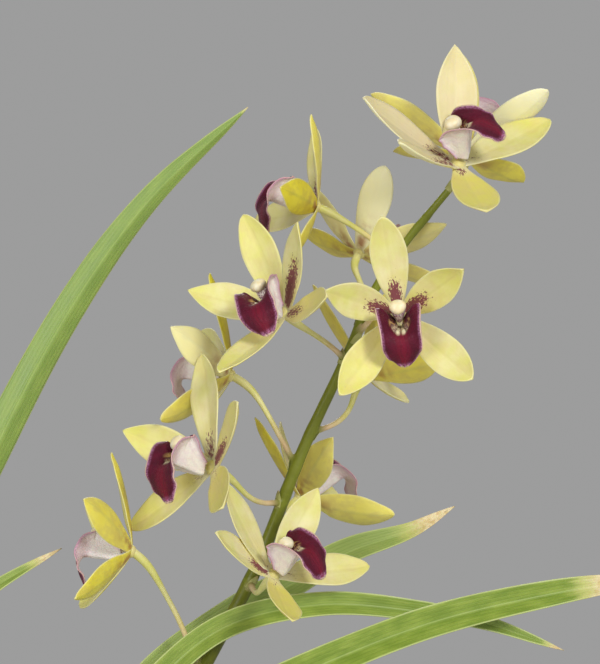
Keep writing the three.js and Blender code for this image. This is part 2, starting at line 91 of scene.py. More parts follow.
def curve_points(points, count=400):
    """Centripetal Catmull-Rom through the points, resampled evenly along its length."""
    points = np.asarray(points, float)
    ends = [2 * points[0] - points[1], *points, 2 * points[-1] - points[-2]]
    dense = []
    for a, b, c, d in zip(ends, ends[1:], ends[2:], ends[3:]):
        before, middle, after = (np.linalg.norm(q - p) ** 0.5 for p, q in ((a, b), (b, c), (c, d)))
        leave = ((b - a) / before - (c - a) / (before + middle) + (c - b) / middle) * middle
        arrive = ((c - b) / middle - (d - b) / (middle + after) + (d - c) / after) * middle
        s = np.linspace(0, 1, 60, endpoint=False)[:, None]
        dense.append(soft_join(b, leave, c, arrive, s))
    dense = np.vstack([*dense, points[-1]])
    run = np.concatenate([[0], np.cumsum(np.linalg.norm(np.diff(dense, axis=0), axis=1))])
    even = np.linspace(0, run[-1], count)
    return np.column_stack([np.interp(even, run, dense[:, axis]) for axis in range(3)])


def along_curve(line, t):
    """Points and unit directions at shares t of an evenly sampled line."""
    place = np.clip(np.asarray(t, float), 0, 1) * (len(line) - 1)
    index = np.arange(len(line))
    slope = np.gradient(line, axis=0)
    at = np.column_stack([np.interp(place, index, line[:, axis]) for axis in range(3)])
    way = np.column_stack([np.interp(place, index, slope[:, axis]) for axis in range(3)])
    return at, way / np.linalg.norm(way, axis=1, keepdims=True)


# %% A smooth table: values at a few knots, joined by soft curves
def smooth(knots, values, t):
    knots, values = np.asarray(knots, float), np.asarray(values, float)
    slope = np.gradient(values, knots, axis=0)
    t = np.clip(np.asarray(t, float), knots[0], knots[-1])
    i = np.clip(np.searchsorted(knots, t, side="right") - 1, 0, len(knots) - 2)
    span = knots[i + 1] - knots[i]
    s = (t - knots[i]) / span
    if values.ndim > 1:
        s, span = s[:, None], span[:, None]
    return soft_join(values[i], slope[i] * span, values[i + 1], slope[i + 1] * span, s)


def step_up(low, high, x):
    """0 below low, 1 above high, soft between."""
    s = np.clip((np.asarray(x, float) - low) / (high - low), 0, 1)
    return s * s * (3 - 2 * s)


# %% [markdown]
# ## Camera, floor and light
#
# The view is level with the middle of the flower stem and far away, so the blooms keep their true
# proportions. One broad soft light in front gives the shape, a weaker one on the other side opens the
# shadows, and a light behind lets the petals glow a little.

# %% Camera
VIEW_CENTRE = Vector((170, 0, 596)) * MM      # middle of the framed part of the plant
VIEW_DISTANCE = 1400 * MM
VIEW_WIDTH = 300 * MM                         # seen width at the stem
camera_data = bpy.data.cameras.new("camera")
camera_data.sensor_fit = "HORIZONTAL"
camera_data.lens = camera_data.sensor_width * VIEW_DISTANCE / VIEW_WIDTH
camera = bpy.data.objects.new("camera", camera_data)
bpy.context.collection.objects.link(camera)
camera.location = VIEW_CENTRE - Vector((0, VIEW_DISTANCE, 0))
camera.rotation_euler = (math.radians(90), 0, 0)
bpy.context.scene.camera = camera
print("camera at", tuple(round(c, 3) for c in camera.location), "lens", round(camera_data.lens, 1))


# %% Helpers for operators
def nothing_selected():
    if bpy.context.object and bpy.context.object.mode != "OBJECT":
        bpy.ops.object.mode_set(mode="OBJECT")
    bpy.ops.object.select_all(action="DESELECT")


def only(piece):
    nothing_selected()
    piece.select_set(True)
    bpy.context.view_layer.objects.active = piece


def apply_modifiers(piece):
    only(piece)
    for modifier in list(piece.modifiers):
        bpy.ops.object.modifier_apply(modifier=modifier.name)


def named(name):
    piece = bpy.context.object
    piece.name = name
    piece.data.name = name
    return piece


def get_points(piece):
    flat = np.empty(len(piece.data.vertices) * 3)
    piece.data.vertices.foreach_get("co", flat)
    return flat.reshape(-1, 3)


def set_points(piece, points):
    piece.data.vertices.foreach_set("co", np.asarray(points, float).ravel())
    piece.data.update()


def set_value(piece, name, values):
    """Stores one number per point that a material can read."""
    layer = piece.data.attributes.get(name) or piece.data.attributes.new(name, "FLOAT", "POINT")
    layer.data.foreach_set("value", np.broadcast_to(values, len(piece.data.vertices)).astype(float))


def place_at_origin(piece):
    only(piece)
    bpy.ops.object.transform_apply(location=True, rotation=True, scale=True)


def copy_of(master):
    copy = master.copy()
    copy.data = master.data.copy()
    bpy.context.collection.objects.link(copy)
    return copy


def round_ball(name, segments, rings):
    """A ball of radius 1 to be shaped, with its points."""
    nothing_selected()
    bpy.ops.mesh.primitive_uv_sphere_add(segments=segments, ring_count=rings, radius=1)
    return named(name), get_points(bpy.context.object)


def at_pole(points):
    return np.hypot(points[:, 0], points[:, 1]) < 1e-4


def join(pieces, name):
    nothing_selected()
    for piece in pieces:
        piece.select_set(True)
    bpy.context.view_layer.objects.active = pieces[0]
    bpy.ops.object.join()
    return named(name)


def finished(piece, finish, slot, *nodes, angle=None):
    """Shades a piece and gives it its finish and its place on the plant. The slot is not used."""
    only(piece)
    if angle is None:
        bpy.ops.object.shade_smooth()
    else:
        bpy.ops.object.shade_smooth_by_angle(angle=math.radians(angle))
    piece.data.materials.clear()
    piece.data.materials.append(finish)
    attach(piece, "root")
    if nodes:
        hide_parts(*nodes)


# %% Floor and lights
nothing_selected()
FLOOR_RADIUS = 3.3
bpy.ops.mesh.primitive_circle_add(vertices=96, radius=FLOOR_RADIUS, fill_type="NGON", location=(0, 0, 0))
floor = named("floor")
floor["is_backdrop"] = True
floor_finish = bpy.data.materials.new("pale_floor")
floor_finish.use_nodes = True
floor_sockets = floor_finish.node_tree.nodes["Principled BSDF"].inputs
floor_sockets["Base Color"].default_value = (0.62, 0.61, 0.60, 1)
floor_sockets["Roughness"].default_value = 0.75
floor.data.materials.append(floor_finish)


def soft_light(name, place, size, power):
    """A round soft light that points at the middle of the view."""
    data = bpy.data.lights.new(name, "AREA")
    data.shape = "DISK"
    data.size = size
    data.energy = power
    light = bpy.data.objects.new(name, data)
    bpy.context.collection.objects.link(light)
    light.location = place
    light.rotation_euler = (VIEW_CENTRE - Vector(place)).to_track_quat("-Z", "Y").to_euler()


soft_light("key_light", (1.30, -2.61, 1.68), 0.8, 54)
soft_light("fill_light", (-0.80, -1.5, 0.75), 0.9, 10.5)
soft_light("back_light", (0.1, 1.5, 1.4), 0.9, 7)
world = bpy.data.worlds.new("studio")
bpy.context.scene.world = world
world.use_nodes = True
backdrop = world.node_tree.nodes["Background"].inputs
backdrop["Color"].default_value = (0.60, 0.60, 0.60, 1)
backdrop["Strength"].default_value = 0.56

# %% [markdown]
# ## Colour effects that several finishes share
#
# Petals, leaves, husks and clay all need fine lines, spots or cloudy patches. Each effect is a small
# node group with named sockets, made once. A finish places the group and sets its own values.

# %% Short ways to add nodes
def filled(tree, made, sockets):
    """Links or sets the sockets of a new node."""
    for name, value in sockets.items():
        if isinstance(value, bpy.types.NodeSocket):
            tree.links.new(value, made.inputs[name])
        else:
            made.inputs[name].default_value = value
    return made


def node(tree, kind, sockets=None, **settings):
    made = tree.nodes.new("ShaderNode" + kind)
    for name, value in settings.items():
        setattr(made, name, value)
    return filled(tree, made, sockets or {})


def calc(tree, operation, *values):
    return node(tree, "Math", dict(enumerate(values)), operation=operation).outputs[0]


def times(tree, first, *others):
    for other in others:
        first = calc(tree, "MULTIPLY", first, other)
    return first


def rest_of(tree, value):
    return calc(tree, "SUBTRACT", 1.0, value)


def fade(tree, value, low, high):
    """0 below low, 1 above high, soft between."""
    sockets = {"Value": value, "From Min": low, "From Max": high}
    return node(tree, "MapRange", sockets, interpolation_type="SMOOTHSTEP").outputs["Result"]


def fade_out(tree, value, low, high):
    return rest_of(tree, fade(tree, value, low, high))


def mix(tree, share, *colours):
    """Goes from the first colour to the second. Each is a socket or (red, green, blue)."""
    first, second = (c if isinstance(c, bpy.types.NodeSocket) else (*c, 1) for c in colours)
    return node(tree, "Mix", {0: share, 6: first, 7: second}, data_type="RGBA").outputs[2]


def effect(name, inputs, output):
    """A node group with number or vector inputs and one output between 0 and 1."""
    group = bpy.data.node_groups.new(name, "ShaderNodeTree")
    for label, value in inputs.items():
        kind = "NodeSocketVector" if value is None else "NodeSocketFloat"
        socket = group.interface.new_socket(label, in_out="INPUT", socket_type=kind)
        if value is not None:
            socket.default_value = value
    group.interface.new_socket(output, in_out="OUTPUT", socket_type="NodeSocketFloat")
    entry = group.nodes.new("NodeGroupInput").outputs
    leave = group.nodes.new("NodeGroupOutput").inputs[0]
    return group, entry, leave


def use(tree, group, **sockets):
    made = tree.nodes.new("ShaderNodeGroup")
    made.node_tree = group
    return filled(tree, made, sockets).outputs[0]


# %% Parallel veins, blotches and mottling
veins, entry, leave = effect("parallel_veins", {"Across": 0.0, "Along": 0.0, "Count": 10.0, "Waver": 0.02},
                             "Lines")
spread = node(veins, "CombineXYZ", {"X": times(veins, entry["Across"], 5.0),
                                    "Y": times(veins, entry["Along"], 4.0)})
warp = node(veins, "TexNoise", {"Vector": spread.outputs[0], "Scale": 1.6, "Detail": 2.0}).outputs["Fac"]
shifted = calc(veins, "MULTIPLY_ADD", calc(veins, "SUBTRACT", warp, 0.5), entry["Waver"], entry["Across"])
turns = times(veins, shifted, entry["Count"], 2 * math.pi)
veins.links.new(fade(veins, calc(veins, "SINE", turns), 0.1, 1.0), leave)

blotches, entry, leave = effect("blotches", {"Vector": None, "Scale": 5.0, "Amount": 0.5, "Softness": 0.06},
                                "Mask")
cloud = node(blotches, "TexNoise", {"Vector": entry["Vector"], "Scale": entry["Scale"], "Detail": 3.0,
                                    "Roughness": 0.62}).outputs["Fac"]
level = fade(blotches, cloud, 0.25, 0.75)
bar = rest_of(blotches, entry["Amount"])
blotches.links.new(fade(blotches, level, calc(blotches, "SUBTRACT", bar, entry["Softness"]),
                        calc(blotches, "ADD", bar, entry["Softness"])), leave)

mottle, entry, leave = effect("mottle", {"Vector": None, "Scale": 20.0, "Low": 0.35, "High": 0.65}, "Value")
cloud = node(mottle, "TexNoise", {"Vector": entry["Vector"], "Scale": entry["Scale"],
                                  "Detail": 4.0}).outputs["Fac"]
mottle.links.new(fade(mottle, cloud, entry["Low"], entry["High"]), leave)
print("effects:", [group.name for group in bpy.data.node_groups])


# %% The start and the end of every finish
def new_finish(name):
    material = bpy.data.materials.new(name)
    material.use_nodes = True
    return material, material.node_tree


def surface_values(tree):
    """Across, along and the object's own coordinates."""
    parts = node(tree, "SeparateXYZ", {0: node(tree, "UVMap", uv_map="UVMap").outputs[0]})
    return parts.outputs["X"], parts.outputs["Y"], object_place(tree)


def object_place(tree):
    return node(tree, "TexCoord").outputs["Object"]


def values_of(tree, *names):
    """The numbers that a mesh stores for its finish."""
    found = [node(tree, "Attribute", attribute_name=name).outputs["Fac"] for name in names]
    return found if len(found) > 1 else found[0]


def side_share_of(tree, across):
    """0 on the midline of a blade, 1 at its margins."""
    return calc(tree, "ABSOLUTE", calc(tree, "MULTIPLY_ADD", across, 2.0, -1.0))


def stretched(tree, across, along, wide, long, seed=0.0):
    """Across and along, each counted in its own number of cells, to drive a noise."""
    sockets = {"X": times(tree, across, wide), "Y": times(tree, along, long), "Z": seed}
    return node(tree, "CombineXYZ", sockets).outputs[0]


def layered(tree, skin, *layers):
    """Lays colours over a skin, one after another. Each layer: its mask, its strength, its colour."""
    for mask, strength, colour in layers:
        skin = mix(tree, times(tree, mask, strength), skin, colour)
    return skin


def dress(tree, skin, rough, relief, specular=0.5, sheen=None, glow=None):
    """Ends a finish. rough: mask, its amount and the base; relief: height, strength, distance; sheen:
    weight and roughness; glow: weight, radius and scale of the light that goes through the tissue."""
    sockets = tree.nodes["Principled BSDF"].inputs
    tree.links.new(skin, sockets["Base Color"])
    tree.links.new(calc(tree, "MULTIPLY_ADD", *rough), sockets["Roughness"])
    bump = node(tree, "Bump", dict(zip(("Height", "Strength", "Distance"), relief)))
    tree.links.new(bump.outputs[0], sockets["Normal"])
    sockets["Specular IOR Level"].default_value = specular
    if sheen:
        sockets["Sheen Weight"].default_value, sockets["Sheen Roughness"].default_value = sheen
    for part, value in zip(("Weight", "Radius", "Scale"), glow or ()):
        sockets[f"Subsurface {part}"].default_value = value


# %% [markdown]
# ## Petal finish
#
# The petals are waxy and thick. Inside they are cream and soft yellow with hardly visible veins, a
# white hair-line at the margin and dark red flames of tiny dots near the middle of the bloom. Outside
# they are a stronger yellow, browner at the foot. The flames are a stored strength on the mesh, and
# noise breaks that strength into dots, so the pattern is dense at the foot and loose further out.

# %% Petal finish
petal_finish, tree = new_finish("waxy_petal")
across, along, place = surface_values(tree)
inner, tone, margin, pale, splash = values_of(tree, "inner", "tone", "margin", "pale", "splash")
cloudy = use(tree, mottle, Vector=place, Scale=95.0, Low=0.3, High=0.72)
lines = use(tree, veins, Across=across, Along=along, Count=9.0, Waver=0.05)
side_share = side_share_of(tree, across)
midline = fade_out(tree, side_share, 0.0, 0.16)
tan = use(tree, blotches, Vector=stretched(tree, across, along, 2.0, 4.0, 5.0), Scale=1.3, Amount=0.42,
          Softness=0.3)
face = layered(tree, mix(tree, cloudy, (0.84, 0.79, 0.45), (0.73, 0.72, 0.24)),
               (tone, 0.8, (0.76, 0.70, 0.10)),
               (fade(tree, along, 0.5, 1.0), 0.45, (0.73, 0.70, 0.10)),
               (lines, 0.035, (0.62, 0.60, 0.20)),
               (midline, 0.20, (0.60, 0.58, 0.14)),
               (tan, 0.22, (0.72, 0.52, 0.28)),
               (pale, 0.65, (0.76, 0.63, 0.45)),
               (fade_out(tree, along, 0.02, 0.26), 0.6, (0.86, 0.80, 0.58)))
blush = times(tree, fade_out(tree, along, 0.05, 0.55), fade_out(tree, side_share, 0.1, 0.95),
              use(tree, mottle, Vector=place, Scale=160.0, Low=0.36, High=0.62))
back = layered(tree, mix(tree, cloudy, (0.78, 0.67, 0.010), (0.82, 0.72, 0.05)),
               (tone, 0.6, (0.52, 0.41, 0.03)),
               (tan, 0.30, (0.40, 0.28, 0.08)),
               (midline, 0.30, (0.40, 0.40, 0.05)),
               (pale, 1.0, (0.92, 0.87, 0.55)),
               (blush, 0.85, (0.34, 0.11, 0.04)))
dots = use(tree, blotches, Vector=stretched(tree, across, along, 7.0, 9.0), Scale=2.6, Amount=splash,
           Softness=0.05)
skin = layered(tree, mix(tree, inner, back, face),
               (fade_out(tree, margin, 0.15, 0.6), 0.4, (0.86, 0.82, 0.52)),
               (times(tree, dots, inner), 0.93, (0.190, 0.018, 0.060)))
fine = node(tree, "TexNoise", {"Vector": place, "Scale": 2600.0, "Detail": 2.0}).outputs["Fac"]
relief = calc(tree, "MULTIPLY_ADD", fine, 0.2, times(tree, cloudy, 0.8))
relief = calc(tree, "MULTIPLY_ADD", lines, 0.12, relief)
dress(tree, skin, (cloudy, 0.1, 0.42), (relief, 0.35, 0.00025), 0.30, (0.03, 0.4),
      (0.18, (1.0, 0.8, 0.25), 0.0016))

# %% [markdown]
# ## Lip finish
#
# The lip is velvet. Its middle lobe is a deep wine red, brighter down the middle with dark veins, and
# it has a purple margin of tiny grains and a cream edge. The trough is cream with rows of wine dots,
# the two ridges in it are cream, and the outside of the lip is a pale mauve with a purple rim.

# %% Lip finish
lip_finish, tree = new_finish("velvet_lip")
across, along, place = surface_values(tree)
inner, margin, callus = values_of(tree, "inner", "margin", "callus")
side_share = side_share_of(tree, across)
middle_lobe = fade(tree, along, 0.41, 0.46)
lines = use(tree, veins, Across=across, Along=along, Count=8.0, Waver=0.25)
grain = use(tree, mottle, Vector=place, Scale=1500.0, Low=0.42, High=0.58)
cloudy = use(tree, mottle, Vector=place, Scale=260.0, Low=0.35, High=0.65)
rim_grain = times(tree, fade_out(tree, margin, 0.5, 2.1), calc(tree, "MULTIPLY_ADD", grain, 0.75, 0.25))
wine = layered(tree, (0.080, 0.002, 0.015),
               (fade_out(tree, side_share, 0.0, 0.62), 0.75, (0.210, 0.004, 0.022)),
               (lines, 0.35, (0.060, 0.002, 0.012)),
               (cloudy, 0.3, (0.17, 0.004, 0.03)),
               (rim_grain, 1.0, (0.42, 0.17, 0.31)))
spots = use(tree, blotches, Vector=stretched(tree, across, along, 24.0, 20.0, 3.0), Scale=2.2, Amount=0.46,
            Softness=0.07)
stripes = use(tree, blotches, Vector=stretched(tree, across, along, 16.0, 3.5, 7.0), Scale=1.7, Amount=0.35,
              Softness=0.10)
trough = mix(tree, spots, (0.84, 0.74, 0.50), (0.20, 0.02, 0.09))
lobe_side = mix(tree, times(tree, stripes, fade_out(tree, side_share, 0.46, 0.62)), wine, (0.75, 0.50, 0.16))
trough = mix(tree, fade(tree, side_share, 0.34, 0.50), trough, lobe_side)
inside = layered(tree, trough, (middle_lobe, 1.0, wine), (callus, 1.0, (0.88, 0.80, 0.50)))
outside = layered(tree, mix(tree, cloudy, (0.96, 0.92, 0.87), (0.93, 0.83, 0.85)),
                  (lines, 0.12, (0.60, 0.36, 0.50)),
                  (fade_out(tree, margin, 0.3, 3.4), 0.45, (0.46, 0.20, 0.38)),
                  (middle_lobe, 0.40, (0.52, 0.26, 0.36)))
edge = mix(tree, inner, (0.56, 0.26, 0.40), (0.80, 0.60, 0.42))
skin = layered(tree, mix(tree, inner, outside, inside), (fade_out(tree, margin, 0.22, 0.62), 0.8, edge))
relief = calc(tree, "MULTIPLY_ADD", grain, 0.7, times(tree, lines, 0.4))
dress(tree, skin, (grain, 0.18, 0.42), (relief, 0.6, 0.0003), 0.25, (0.08, 0.35),
      (0.08, (1.0, 0.25, 0.25), 0.001))
tree.nodes["Principled BSDF"].inputs["Sheen Tint"].default_value = (1.0, 0.62, 0.78, 1)

# %% Column finish
column_finish, tree = new_finish("waxy_column")
place = object_place(tree)
under, cap = values_of(tree, "under", "cap")
cloudy = use(tree, mottle, Vector=place, Scale=320.0, Low=0.35, High=0.65)
flecks = use(tree, blotches, Vector=place, Scale=1000.0, Amount=calc(tree, "MULTIPLY_ADD", under, 0.34, 0.14),
             Softness=0.06)
skin = layered(tree, mix(tree, cloudy, (0.86, 0.76, 0.36), (0.86, 0.79, 0.52)),
               (under, 0.85, (0.90, 0.82, 0.78)),
               (flecks, 0.85, (0.30, 0.05, 0.16)),
               (cap, 1.0, mix(tree, cloudy, (0.90, 0.82, 0.58), (0.86, 0.72, 0.42))))
dress(tree, skin, (cloudy, 0.12, 0.34), (cloudy, 0.3, 0.0002), glow=(0.15, (1.0, 0.8, 0.5), 0.0015))

# %% [markdown]
# ## Leaf, stem and husk finishes
#
# Strap leaves are ribbed along their whole length. They have a paler groove down the middle, a thin
# yellow margin and, on some tips, a dry orange end. The flower stem is olive, and its thin stalks turn
# pale yellow towards the blooms with a brown blush where they leave the stem.

# %% Leaf finish
leaf_finish, tree = new_finish("strap_leaf")
across, along, place = surface_values(tree)
inner, tone, dry, margin = values_of(tree, "inner", "tone", "dry", "margin")
lines = use(tree, veins, Across=across, Along=along, Count=9.0, Waver=0.01)
fine_lines = use(tree, veins, Across=across, Along=along, Count=27.0, Waver=0.01)
patches = use(tree, mottle, Vector=stretched(tree, across, along, 3.0, 22.0), Scale=1.4, Low=0.3, High=0.7)
straw_share = use(tree, mottle, Vector=place, Scale=420.0, Low=0.4, High=0.6)
straw = mix(tree, straw_share, (0.66, 0.50, 0.24), (0.76, 0.64, 0.38))
ragged = calc(tree, "ADD", dry, times(tree, calc(tree, "SUBTRACT", patches, 0.5), 0.16))
green = layered(tree, mix(tree, patches, (0.170, 0.255, 0.024), (0.260, 0.350, 0.044)),
                (tone, 1.0, (0.33, 0.42, 0.12)),
                (lines, 0.18, (0.11, 0.19, 0.02)),
                (fine_lines, 0.10, (0.30, 0.42, 0.12)),
                (rest_of(tree, inner), 0.35, (0.26, 0.40, 0.13)),
                (fade_out(tree, side_share_of(tree, across), 0.015, 0.075), 0.35, (0.44, 0.56, 0.18)),
                (fade_out(tree, margin, 0.25, 0.7), 0.7, (0.56, 0.62, 0.24)),
                (fade(tree, ragged, 0.02, 0.45), 1.0, (0.50, 0.52, 0.16)),
                (fade(tree, ragged, 0.35, 0.95), 1.0, straw))
dress(tree, green, (patches, 0.10, 0.36), (times(tree, lines, -1.0), 0.25, 0.0003), 0.45,
      glow=(0.10, (0.5, 1.0, 0.2), 0.001))

# %% Stem finish
stem_finish, tree = new_finish("fleshy_stem")
stalk_share, bloom_share, height = values_of(tree, "stalk", "towards_bloom", "height")
cloudy = use(tree, mottle, Vector=object_place(tree), Scale=140.0, Low=0.35, High=0.65)
olive = mix(tree, cloudy, (0.115, 0.130, 0.010), (0.170, 0.185, 0.015))
olive = mix(tree, height, olive, (0.210, 0.240, 0.022))
stalk_skin = mix(tree, bloom_share, (0.70, 0.47, 0.30), (0.66, 0.64, 0.18))
stalk_skin = layered(tree, stalk_skin, (cloudy, 0.4, (0.84, 0.76, 0.50)))
dress(tree, mix(tree, stalk_share, olive, stalk_skin), (cloudy, 0.12, 0.36), (cloudy, 0.25, 0.0003), 0.3,
      glow=(0.10, (0.8, 1.0, 0.3), 0.0015))


# %% Husk finish, in two tones
def husk_finish(name, light, dark):
    material, tree = new_finish(name)
    across, along, place = surface_values(tree)
    lines = use(tree, veins, Across=across, Along=along, Count=13.0, Waver=0.04)
    cloudy = use(tree, mottle, Vector=place, Scale=210.0, Low=0.35, High=0.65)
    skin = layered(tree, light, (lines, 0.6, dark), (cloudy, 0.45, dark),
                   (fade(tree, along, 0.7, 1.0), 0.6, (0.36, 0.20, 0.09)))
    dress(tree, skin, (cloudy, 0.2, 0.6), (lines, 0.6, 0.0004), 0.3)
    return material


dry_husk_finish = husk_finish("dry_husk", (0.55, 0.40, 0.21), (0.26, 0.16, 0.07))
green_husk_finish = husk_finish("green_husk", (0.52, 0.52, 0.20), (0.33, 0.34, 0.10))

# %% Pseudobulb finish
bulb_finish, tree = new_finish("ribbed_bulb")
across, along, place = surface_values(tree)
cloudy = use(tree, mottle, Vector=place, Scale=70.0, Low=0.35, High=0.65)
lines = use(tree, veins, Across=across, Along=along, Count=28.0, Waver=0.01)
scars = use(tree, blotches, Vector=place, Scale=300.0, Amount=0.25, Softness=0.1)
skin = layered(tree, mix(tree, cloudy, (0.20, 0.30, 0.06), (0.32, 0.38, 0.10)),
               (lines, 0.3, (0.13, 0.19, 0.04)), (scars, 0.5, (0.30, 0.22, 0.08)))
dress(tree, skin, (cloudy, 0.15, 0.4), (lines, 0.4, 0.0004))

# %% Bark finish
bark_finish, tree = new_finish("bark_chips")
place, tone = object_place(tree), values_of(tree, "tone")
squeezed = node(tree, "Mapping", {"Vector": place, "Scale": (1.0, 3.2, 2.2)}).outputs[0]
fibre = use(tree, mottle, Vector=squeezed, Scale=330.0, Low=0.36, High=0.64)
cork = use(tree, mottle, Vector=place, Scale=120.0, Low=0.35, High=0.65)
skin = layered(tree, mix(tree, tone, (0.085, 0.042, 0.022), (0.27, 0.145, 0.075)),
               (fibre, 0.55, (0.040, 0.020, 0.012)), (cork, 0.3, (0.30, 0.20, 0.13)))
dress(tree, skin, (cork, 0.15, 0.78), (calc(tree, "ADD", fibre, cork), 0.8, 0.0006), 0.25)

# %% Root finish
root_finish, tree = new_finish("pale_root")
cloudy = use(tree, mottle, Vector=object_place(tree), Scale=240.0, Low=0.35, High=0.65)
skin = mix(tree, cloudy, (0.62, 0.60, 0.50), (0.44, 0.40, 0.28))
dress(tree, skin, (cloudy, 0.15, 0.68), (cloudy, 0.5, 0.0004))

# %% [markdown]
# ## Clay finish
#
# Unglazed clay is orange-brown with fine sand in it. Water that dries through the wall leaves pale
# salt, mostly low on the side and in a line under the rim, and the turning leaves faint level rings.

# %% Clay finish
clay_finish, tree = new_finish("unglazed_clay")
place = object_place(tree)
level = node(tree, "SeparateXYZ", {0: place}).outputs["Z"]
cloudy = use(tree, mottle, Vector=place, Scale=16.0, Low=0.33, High=0.67)
sand = use(tree, mottle, Vector=place, Scale=1500.0, Low=0.42, High=0.60)
rings = node(tree, "Mapping", {"Vector": place, "Scale": (0.6, 0.6, 24.0)}).outputs[0]
rings = use(tree, mottle, Vector=rings, Scale=26.0, Low=0.36, High=0.64)
under_rim = times(tree, fade(tree, level, 0.120, 0.141), fade_out(tree, level, 0.141, 0.150))
salty_places = calc(tree, "MAXIMUM", fade_out(tree, level, 0.0, 0.075), under_rim)
salt_amount = calc(tree, "MULTIPLY_ADD", salty_places, 0.42, 0.14)
salt = use(tree, blotches, Vector=place, Scale=34.0, Amount=salt_amount, Softness=0.34)
skin = layered(tree, mix(tree, cloudy, (0.43, 0.155, 0.072), (0.52, 0.205, 0.105)),
               (rings, 0.20, (0.36, 0.125, 0.058)),
               (sand, 0.16, (0.62, 0.30, 0.17)),
               (salt, 0.34, (0.66, 0.50, 0.40)))
relief = calc(tree, "MULTIPLY_ADD", rings, 0.9, times(tree, sand, 0.35))
dress(tree, skin, (sand, 0.1, 0.80), (relief, 0.5, 0.0006), 0.3)
print("finishes:", len(bpy.data.materials))

# %% [markdown]
# ## The pot
#
# A clay pot is a turned shape, so one ring is drawn at the foot and pulled up step by step: extrude,
# then resize, as a potter raises the wall. The rim is rolled over and the inside comes down again to
# the floor. Four round holes are cut through the floor for drainage.

# %% A ring pulled through a profile
def raised_ring(name, profile, sides):
    """profile: (radius, height) in mm, from the first ring to the last, which is closed."""
    nothing_selected()
    (radius, height), *rest = profile
    bpy.ops.mesh.primitive_circle_add(vertices=sides, radius=radius * MM, fill_type="NOTHING",
                                      location=(0, 0, height * MM))
    piece = named(name)
    place_at_origin(piece)
    bpy.ops.object.mode_set(mode="EDIT")
    bpy.ops.mesh.select_all(action="SELECT")
    for next_radius, next_height in rest:
        rise = (next_height - height) * MM
        bpy.ops.mesh.extrude_region_move(TRANSFORM_OT_translate={"value": (0, 0, rise)})
        if next_radius > 0:
            share = next_radius / radius
            bpy.ops.transform.resize(value=(share, share, 1), center_override=(0, 0, next_height * MM))
            radius = next_radius
        else:
            bpy.ops.mesh.merge(type="CENTER")
        height = next_height
    bpy.ops.mesh.select_all(action="SELECT")
    bpy.ops.mesh.remove_doubles(threshold=1e-6)
    bpy.ops.mesh.normals_make_consistent(inside=False)
    bpy.ops.object.mode_set(mode="OBJECT")
    return piece


# %% Pot body
FOOT_RADIUS, RIM_RADIUS, POT_TOP = 64.0, POT_HIGH[0], POT_HIGH[2]
SIDE_SLOPE = (RIM_RADIUS - 4.5 - FOOT_RADIUS) / POT_TOP
WALL, FLOOR_THICKNESS, RIM_DEPTH = 7.0, 10.0, 24.0


def side_at(z):
    return FOOT_RADIUS + SIDE_SLOPE * z


rim_low = POT_TOP - RIM_DEPTH
outside = [(0.5, 0), (FOOT_RADIUS * 0.5, 0), (FOOT_RADIUS - 2.2, 0), (FOOT_RADIUS - 0.7, 0.4),
           (side_at(2.2), 2.2)]
outside += [(side_at(z) + 0.16 * math.sin(z * 0.9), z) for z in np.arange(6, rim_low - 6, 5.5)]
outside += [(side_at(rim_low - 3), rim_low - 3.5), (side_at(rim_low) + 0.5, rim_low - 1),
            (side_at(rim_low) + 2.6, rim_low + 0.2), (RIM_RADIUS - 1.3, rim_low + 1.6),
            (RIM_RADIUS - 0.7, rim_low + 4)]
outside += [(RIM_RADIUS - 0.5 + 0.1 * math.sin(z), z) for z in np.arange(rim_low + 8, POT_TOP - 6, 4)]
ROLL = [(0.2, 4.5), (0.9, 2), (2.6, 0.5), (5, 0), (8.2, 0.3), (10.3, 1.6), (11.4, 4)]    # in and down
rolled = [(RIM_RADIUS - inward, POT_TOP - down) for inward, down in ROLL]
inside_top = RIM_RADIUS - 11.5
inside_foot = side_at(FLOOR_THICKNESS) - WALL
inside = [(inside_foot + (inside_top - inside_foot) * (z - FLOOR_THICKNESS) / (POT_TOP - FLOOR_THICKNESS), z)
          for z in np.linspace(POT_TOP - 10, FLOOR_THICKNESS + 3, 18)]
inside += [(inside_foot - 1.5, FLOOR_THICKNESS + 0.4), (inside_foot - 4, FLOOR_THICKNESS),
           (1.0, FLOOR_THICKNESS), (0, FLOOR_THICKNESS)]
pot_body = raised_ring("clay_pot", outside + rolled + inside, 112)

# close the small ring left at the middle of the foot
only(pot_body)
bpy.ops.object.mode_set(mode="EDIT")
bpy.ops.mesh.select_all(action="DESELECT")
bpy.ops.mesh.select_mode(type="EDGE")
bpy.ops.mesh.select_non_manifold(extend=False)
bpy.ops.mesh.edge_face_add()
bpy.ops.mesh.select_all(action="SELECT")
bpy.ops.mesh.normals_make_consistent(inside=False)
bpy.ops.object.mode_set(mode="OBJECT")

# %% Drainage holes
DRAIN_RADIUS, DRAIN_REACH = 5.0, FOOT_RADIUS * 0.55
drills = []
for corner in (45, 135, 225, 315):
    nothing_selected()
    x, y = (DRAIN_REACH * way(math.radians(corner)) for way in (math.cos, math.sin))
    bpy.ops.mesh.primitive_cylinder_add(vertices=32, radius=DRAIN_RADIUS * MM,
                                        depth=(FLOOR_THICKNESS + 6) * MM,
                                        location=Vector((x, y, FLOOR_THICKNESS / 2)) * MM)
    drills.append(named(f"drill_{corner}"))
drill = join(drills, "drills")
place_at_origin(drill)
cut = pot_body.modifiers.new("holes", "BOOLEAN")
cut.operation, cut.solver, cut.object = "DIFFERENCE", "EXACT", drill
apply_modifiers(pot_body)
bpy.data.objects.remove(drill)
finished(pot_body, clay_finish, "clay", "pot", angle=38)
print("pot:", len(pot_body.data.polygons), "faces")

